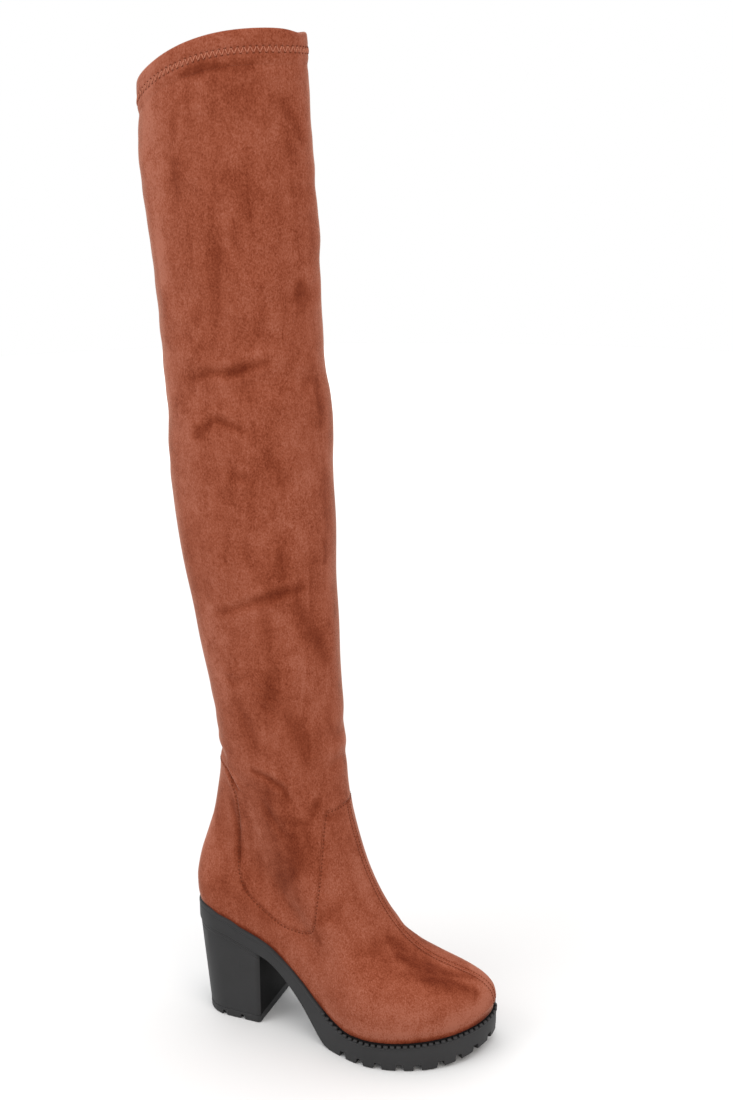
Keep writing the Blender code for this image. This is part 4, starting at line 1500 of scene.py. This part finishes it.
class Finish:
    """A material whose nodes are added and joined one line at a time."""

    def __init__(self, name):
        self.made = bpy.data.materials.new(name)
        self.made.use_nodes = True
        self.tree = self.made.node_tree
        self.shader = self.tree.nodes["Principled BSDF"]
        self.place = self.add("ShaderNodeTexCoord").outputs["Object"]

    def add(self, kind, **settings):
        """A node of a kind, with settings of its own."""
        node = self.tree.nodes.new(kind)
        for key, value in settings.items():
            setattr(node, key, value)
        return node

    def join(self, start, end):
        """Join an output to an input."""
        self.tree.links.new(start, end)

    def stretched(self, scale):
        """The place on the piece, with its axes scaled."""
        node = self.add("ShaderNodeMapping")
        node.inputs["Scale"].default_value = scale
        self.join(self.place, node.inputs["Vector"])
        return node.outputs["Vector"]

    def noise(self, scale, detail=4.0, roughness=0.5, stretch=None, distortion=0.0):
        """Cloudy noise from 0 to 1."""
        node = self.add("ShaderNodeTexNoise")
        sizes = dict(Scale=scale, Detail=detail, Roughness=roughness, Distortion=distortion)
        for key, number in sizes.items():
            node.inputs[key].default_value = number
        self.join(self.stretched(stretch) if stretch else self.place, node.inputs["Vector"])
        return node.outputs["Fac"]

    def value(self, name):
        """The number kept under a name on the piece's points."""
        return self.add("ShaderNodeAttribute", attribute_name=name).outputs["Fac"]

    def ranged(self, source, low, high, new_low, new_high):
        """A number moved from one range to another, and kept inside it."""
        node = self.add("ShaderNodeMapRange")
        sockets = ("From Min", "From Max", "To Min", "To Max")
        for key, number in zip(sockets, (low, high, new_low, new_high)):
            node.inputs[key].default_value = number
        self.join(source, node.inputs["Value"])
        return node.outputs["Result"]

    def feed(self, sockets, sources):
        """Give each socket its number, its colour or the output that drives it."""
        for socket, source in zip(sockets, sources):
            if isinstance(source, (int, float)):
                socket.default_value = source
            elif isinstance(source, tuple):
                socket.default_value = (*source, 1.0)
            else:
                self.join(source, socket)

    def math(self, operation, first, second):
        node = self.add("ShaderNodeMath", operation=operation)
        self.feed(node.inputs, (first, second))
        return node.outputs["Value"]

    def times(self, first, second):
        return self.math("MULTIPLY", first, second)

    def total(self, first, *others):
        """Everything added up."""
        for other in others:
            first = self.math("ADD", first, other)
        return first

    def centred(self, source, gain):
        """A noise's swing about its middle, scaled."""
        return self.times(self.math("SUBTRACT", source, 0.5), gain)

    def ramp(self, source, stops):
        """A colour looked up along a row of (place, colour) stops."""
        node = self.add("ShaderNodeValToRGB")
        line = node.color_ramp
        while len(line.elements) < len(stops):
            line.elements.new(0.5)
        for element, (at, colour) in zip(line.elements, stops):
            element.position = at
            element.color = (*colour, 1.0)
        self.join(source, node.inputs["Fac"])
        return node.outputs["Color"]

    def mix(self, share, first, second):
        """One colour laid over another by a share."""
        node = self.add("ShaderNodeMix", data_type="RGBA")
        self.feed((node.inputs[0], node.inputs[6], node.inputs[7]), (share, first, second))
        return node.outputs[2]

    def bump(self, height, distance, strength, under=None):
        """A low relief of a height, over another one where there is one."""
        node = self.add("ShaderNodeBump")
        node.inputs["Distance"].default_value = distance
        node.inputs["Strength"].default_value = strength
        self.join(height, node.inputs["Height"])
        if under:
            self.join(under, node.inputs["Normal"])
        return node.outputs["Normal"]

    def colour(self, source):
        self.join(source, self.shader.inputs["Base Color"])

    def relief(self, source):
        self.join(source, self.shader.inputs["Normal"])

    def set(self, **values):
        """Constants, straight on the shader's own sockets."""
        for key, value in values.items():
            socket = key.replace("_", " ").title().replace("Ior", "IOR")
            self.shader.inputs[socket].default_value = value


SUEDE_DEEPEST = (0.0718, 0.0081, 0.0019)
SUEDE_DEEP = (0.092, 0.013, 0.0035)
SUEDE_DARK = (0.148, 0.029, 0.011)
SUEDE_MIDDLE = (0.213, 0.0525, 0.025)
SUEDE_LIGHT = (0.288, 0.094, 0.057)
SUEDE_STOPS = (
    (0.02, SUEDE_DEEPEST),
    (0.24, SUEDE_DEEP),
    (0.44, SUEDE_DARK),
    (0.62, SUEDE_MIDDLE),
    (0.92, SUEDE_LIGHT),
)
SUEDE_TONE = 0.628
NAP_AND_PAINTED_SHADE_DARKENS = -0.36
LINING_STOPS = (
    (0.25, (0.14, 0.060, 0.040)),
    (0.6, (0.26, 0.125, 0.085)),
    (0.9, (0.36, 0.19, 0.13)),
)
RUBBER_BLACKS = ((0.0140, 0.0140, 0.0145), (0.0225, 0.0225, 0.0235))
RUBBER_DUST = (0.10, 0.097, 0.094)
# the dark threads are real stitches coloured darker as painted shade of their stitch holes
DEEP_THREAD_WITH_PAINTED_SHADE = ((0.140, 0.032, 0.014), (0.092, 0.020, 0.009))
HEM_THREAD_WITH_PAINTED_SHADE = ((0.145, 0.036, 0.017), (0.100, 0.022, 0.010))
PALE_THREAD = ((0.42, 0.160, 0.100), (0.30, 0.100, 0.060))
FLOOR_STOPS = ((0.0, (0.63, 0.63, 0.63)), (0.35, (0.68, 0.68, 0.68)), (0.8, (0.94, 0.94, 0.94)))


def suede(name, mottle=1.0):
    """Brushed microsuede: patches of nap that lie dark or light, with painted shade and painted
    highlights kept on the piece's points, streaks, and short fibres.
    """
    finish = Finish(name)
    patches = finish.noise(22.0, 8.0, 0.66, distortion=0.9)
    small = finish.noise(85.0, 6.0, 0.7, distortion=0.6)
    long = finish.noise(110.0, 5.0, 0.65, stretch=(1.0, 1.0, 0.22), distortion=0.5)
    fibres = finish.noise(950.0, 3.0, 0.75, stretch=(1.0, 1.0, 0.7))
    ragged = finish.total(finish.centred(small, 2.6), finish.centred(fibres, 1.6))
    # the kept value darkens the tone where it holds painted shade and lightens it where it holds
    # painted highlight, on top of the nap's own patches
    ragged = finish.times(finish.value("nap_with_painted_light"), finish.total(ragged, 1.0))
    clouds = (finish.centred(patches, 0.5 * mottle), finish.centred(small, 0.38 * mottle))
    streaks = (finish.centred(long, 0.42), finish.centred(fibres, 1.15))
    tone = finish.total(*clouds, *streaks, finish.times(ragged, NAP_AND_PAINTED_SHADE_DARKENS), SUEDE_TONE)
    finish.colour(finish.ramp(tone, SUEDE_STOPS))
    pile = finish.bump(fibres, 0.00028, 0.8)
    finish.relief(finish.bump(small, 0.0009, 0.25, pile))
    finish.set(roughness=0.95, sheen_weight=0.5, sheen_roughness=0.27)
    finish.set(sheen_tint=(1.0, 0.68, 0.53, 1.0), specular_ior_level=0.12)
    return finish.made


def lining_cloth(name):
    """Brushed knit backing on the inside of the suede."""
    finish = Finish(name)
    knit = finish.noise(700.0, 3.0, 0.6, stretch=(1.0, 1.0, 0.6))
    tone = finish.total(finish.times(knit, 0.6), finish.times(finish.noise(40.0), 0.4))
    finish.colour(finish.ramp(tone, LINING_STOPS))
    finish.relief(finish.bump(knit, 0.0002, 0.6))
    finish.set(roughness=0.95, sheen_weight=0.2, specular_ior_level=0.15)
    return finish.made


def rubber(name, grain=1.0, shade=1.0, gloss=0.3):
    """Matt black moulded rubber with a fine grain, faint scuffs and dust near the ground."""
    finish = Finish(name)
    cloud = finish.noise(18.0, 5.0, 0.6)
    fine = finish.noise(1500.0, 2.0, 0.5)
    scuffs = finish.noise(210.0, 6.0, 0.75, stretch=(1.0, 1.0, 3.0), distortion=1.2)
    height = finish.add("ShaderNodeSeparateXYZ")
    finish.join(finish.place, height.inputs["Vector"])
    low = finish.ranged(height.outputs["Z"], 0.0, 0.012, 1.0, 0.0)
    marks = finish.ranged(scuffs, 0.56, 0.72, 0.0, 1.0)
    worn = finish.times(marks, finish.total(low, 0.15))
    # a shade below 1 makes a darker copy of the same rubber, used as painted shade
    blacks = [tuple(shade * part for part in black) for black in RUBBER_BLACKS]
    black = finish.ramp(cloud, ((0.3, blacks[0]), (0.7, blacks[1])))
    finish.colour(finish.mix(finish.times(worn, 0.35), black, RUBBER_DUST))
    rough = finish.total(finish.ranged(cloud, 0.3, 0.7, 0.50, 0.62), finish.times(worn, 0.15))
    finish.join(rough, finish.shader.inputs["Roughness"])
    grainy = finish.bump(fine, 0.00006, 0.5 * grain)
    finish.relief(finish.bump(scuffs, 0.00015, 0.15, grainy))
    finish.set(specular_ior_level=gloss)
    return finish.made


def thread(name, light, dark):
    """Twisted polyester thread."""
    finish = Finish(name)
    twist = finish.noise(1800.0, 2.0, 0.5)
    finish.colour(finish.ramp(twist, ((0.35, dark), (0.65, light))))
    finish.relief(finish.bump(twist, 0.0001, 0.5))
    finish.set(roughness=0.9, specular_ior_level=0.08)
    return finish.made


# ---------------------------------------------------------------- floor, light and camera

CAMERA_AT = (472.5, -925.6, 692.9)
CAMERA_AZIMUTH = 21.75
CAMERA_PITCH = 16.65
CAMERA_LENS = 47.46


# name, place, what it looks at, size, power, colour
LIGHTS = (
    ("ceiling_softbox", (0.0, 0.6, 5.0), (0.0, 0.6, 0.0), (8.0, 8.0), 230, (1.0, 1.0, 1.0)),
    ("key_softbox", (-1.5, -1.6, 1.9), (0.0, 0.0, 0.35), (1.4, 1.8), 26, (1.0, 1.0, 1.0)),
    ("fill_softbox", (1.7, -0.9, 0.9), (0.0, 0.0, 0.3), (1.2, 1.4), 9, (1.0, 0.87, 0.77)),
)


def make_floor():
    """A pale disc, a little darker round the boot."""
    deselect()
    bpy.ops.mesh.primitive_circle_add(
        vertices=96, radius=3.0, fill_type="NGON", location=(0.0, 0.6, 0.0)
    )
    floor = bpy.context.object
    floor.name = "studio_floor"
    finish = Finish("pale_floor")
    away = finish.add("ShaderNodeVectorMath", operation="LENGTH")
    finish.join(finish.place, away.inputs[0])
    speck = finish.centred(finish.noise(6.0, 4.0, 0.5), 0.1)
    share = finish.ranged(finish.total(away.outputs["Value"], speck), 0.2, 2.6, 0.0, 1.0)
    finish.colour(finish.ramp(share, FLOOR_STOPS))
    finish.set(roughness=0.8, specular_ior_level=0.1)
    floor.data.materials.append(finish.made)


def light_studio():
    """White surroundings and the soft lights."""
    bpy.context.scene.view_settings.view_transform = "Standard"
    world = bpy.data.worlds.new("studio")
    bpy.context.scene.world = world
    world.use_nodes = True
    sky = world.node_tree.nodes["Background"]
    sky.inputs["Color"].default_value = (1.0, 1.0, 1.0, 1.0)
    sky.inputs["Strength"].default_value = 1.0
    for name, spot, aim, size, power, colour in LIGHTS:
        made = bpy.data.lights.new(name, "AREA")
        made.shape = "RECTANGLE"
        made.size, made.size_y = size
        made.energy = power
        made.color = colour
        lamp = bpy.data.objects.new(name, made)
        bpy.context.scene.collection.objects.link(lamp)
        lamp.location = spot
        lamp.rotation_euler = (Vector(aim) - Vector(spot)).to_track_quat("-Z", "Y").to_euler()


def place_camera():
    """The camera looks down on the outer side from in front of the ankle."""
    made = bpy.data.cameras.new("viewpoint")
    made.lens = CAMERA_LENS
    made.sensor_width = 36.0
    made.clip_start, made.clip_end = 0.05, 40.0
    camera = bpy.data.objects.new("viewpoint", made)
    bpy.context.scene.collection.objects.link(camera)
    camera.location = Vector(CAMERA_AT) * MM
    camera.rotation_euler = (math.radians(90 - CAMERA_PITCH), 0.0, math.radians(CAMERA_AZIMUTH))
    bpy.context.scene.camera = camera


# ---------------------------------------------------------------- the boot

def main():
    outside, inside = suede("rust_suede"), lining_cloth("knit_lining")
    smoother = suede("smooth_rust_suede", 0.5)
    black = rubber("black_rubber")
    # a darker, matt copy of the black rubber: painted shade on the heel's breast and in the welt's
    # recess
    matt_painted_shade_rubber = rubber("painted_shade_matt_black_rubber", 0.6, 0.3, 0.04)
    threads = {
        "dark": thread("deep_rust_thread_painted_shade", *DEEP_THREAD_WITH_PAINTED_SHADE),
        "hem_dark": thread("brown_rust_thread_painted_shade", *HEM_THREAD_WITH_PAINTED_SHADE),
        "light": thread("pale_rust_thread", *PALE_THREAD),
    }
    place_camera()
    light_studio()
    make_floor()
    levels = even_levels(0, UPPER_TOP, UPPER_SPACING)
    upper = make_panel("suede_upper", levels, UPPER_COLUMNS, "upper", smoother)
    sew_upper(upper, panel_stitch_line(upper), threads)
    levels = even_levels(SHAFT_START, HEM, SHAFT_SPACING)
    make_panel("suede_shaft", levels, SHAFT_COLUMNS, "shaft", outside)
    make_lining(inside)
    sew_hem(make_hem(outside), threads)
    make_outsole(black)
    make_welt(black, matt_painted_shade_rubber)
    make_heel([black, matt_painted_shade_rubber])
    make_heel_tip(rubber("worn_black_rubber", 1.6))
    make_sock(inside)


main()
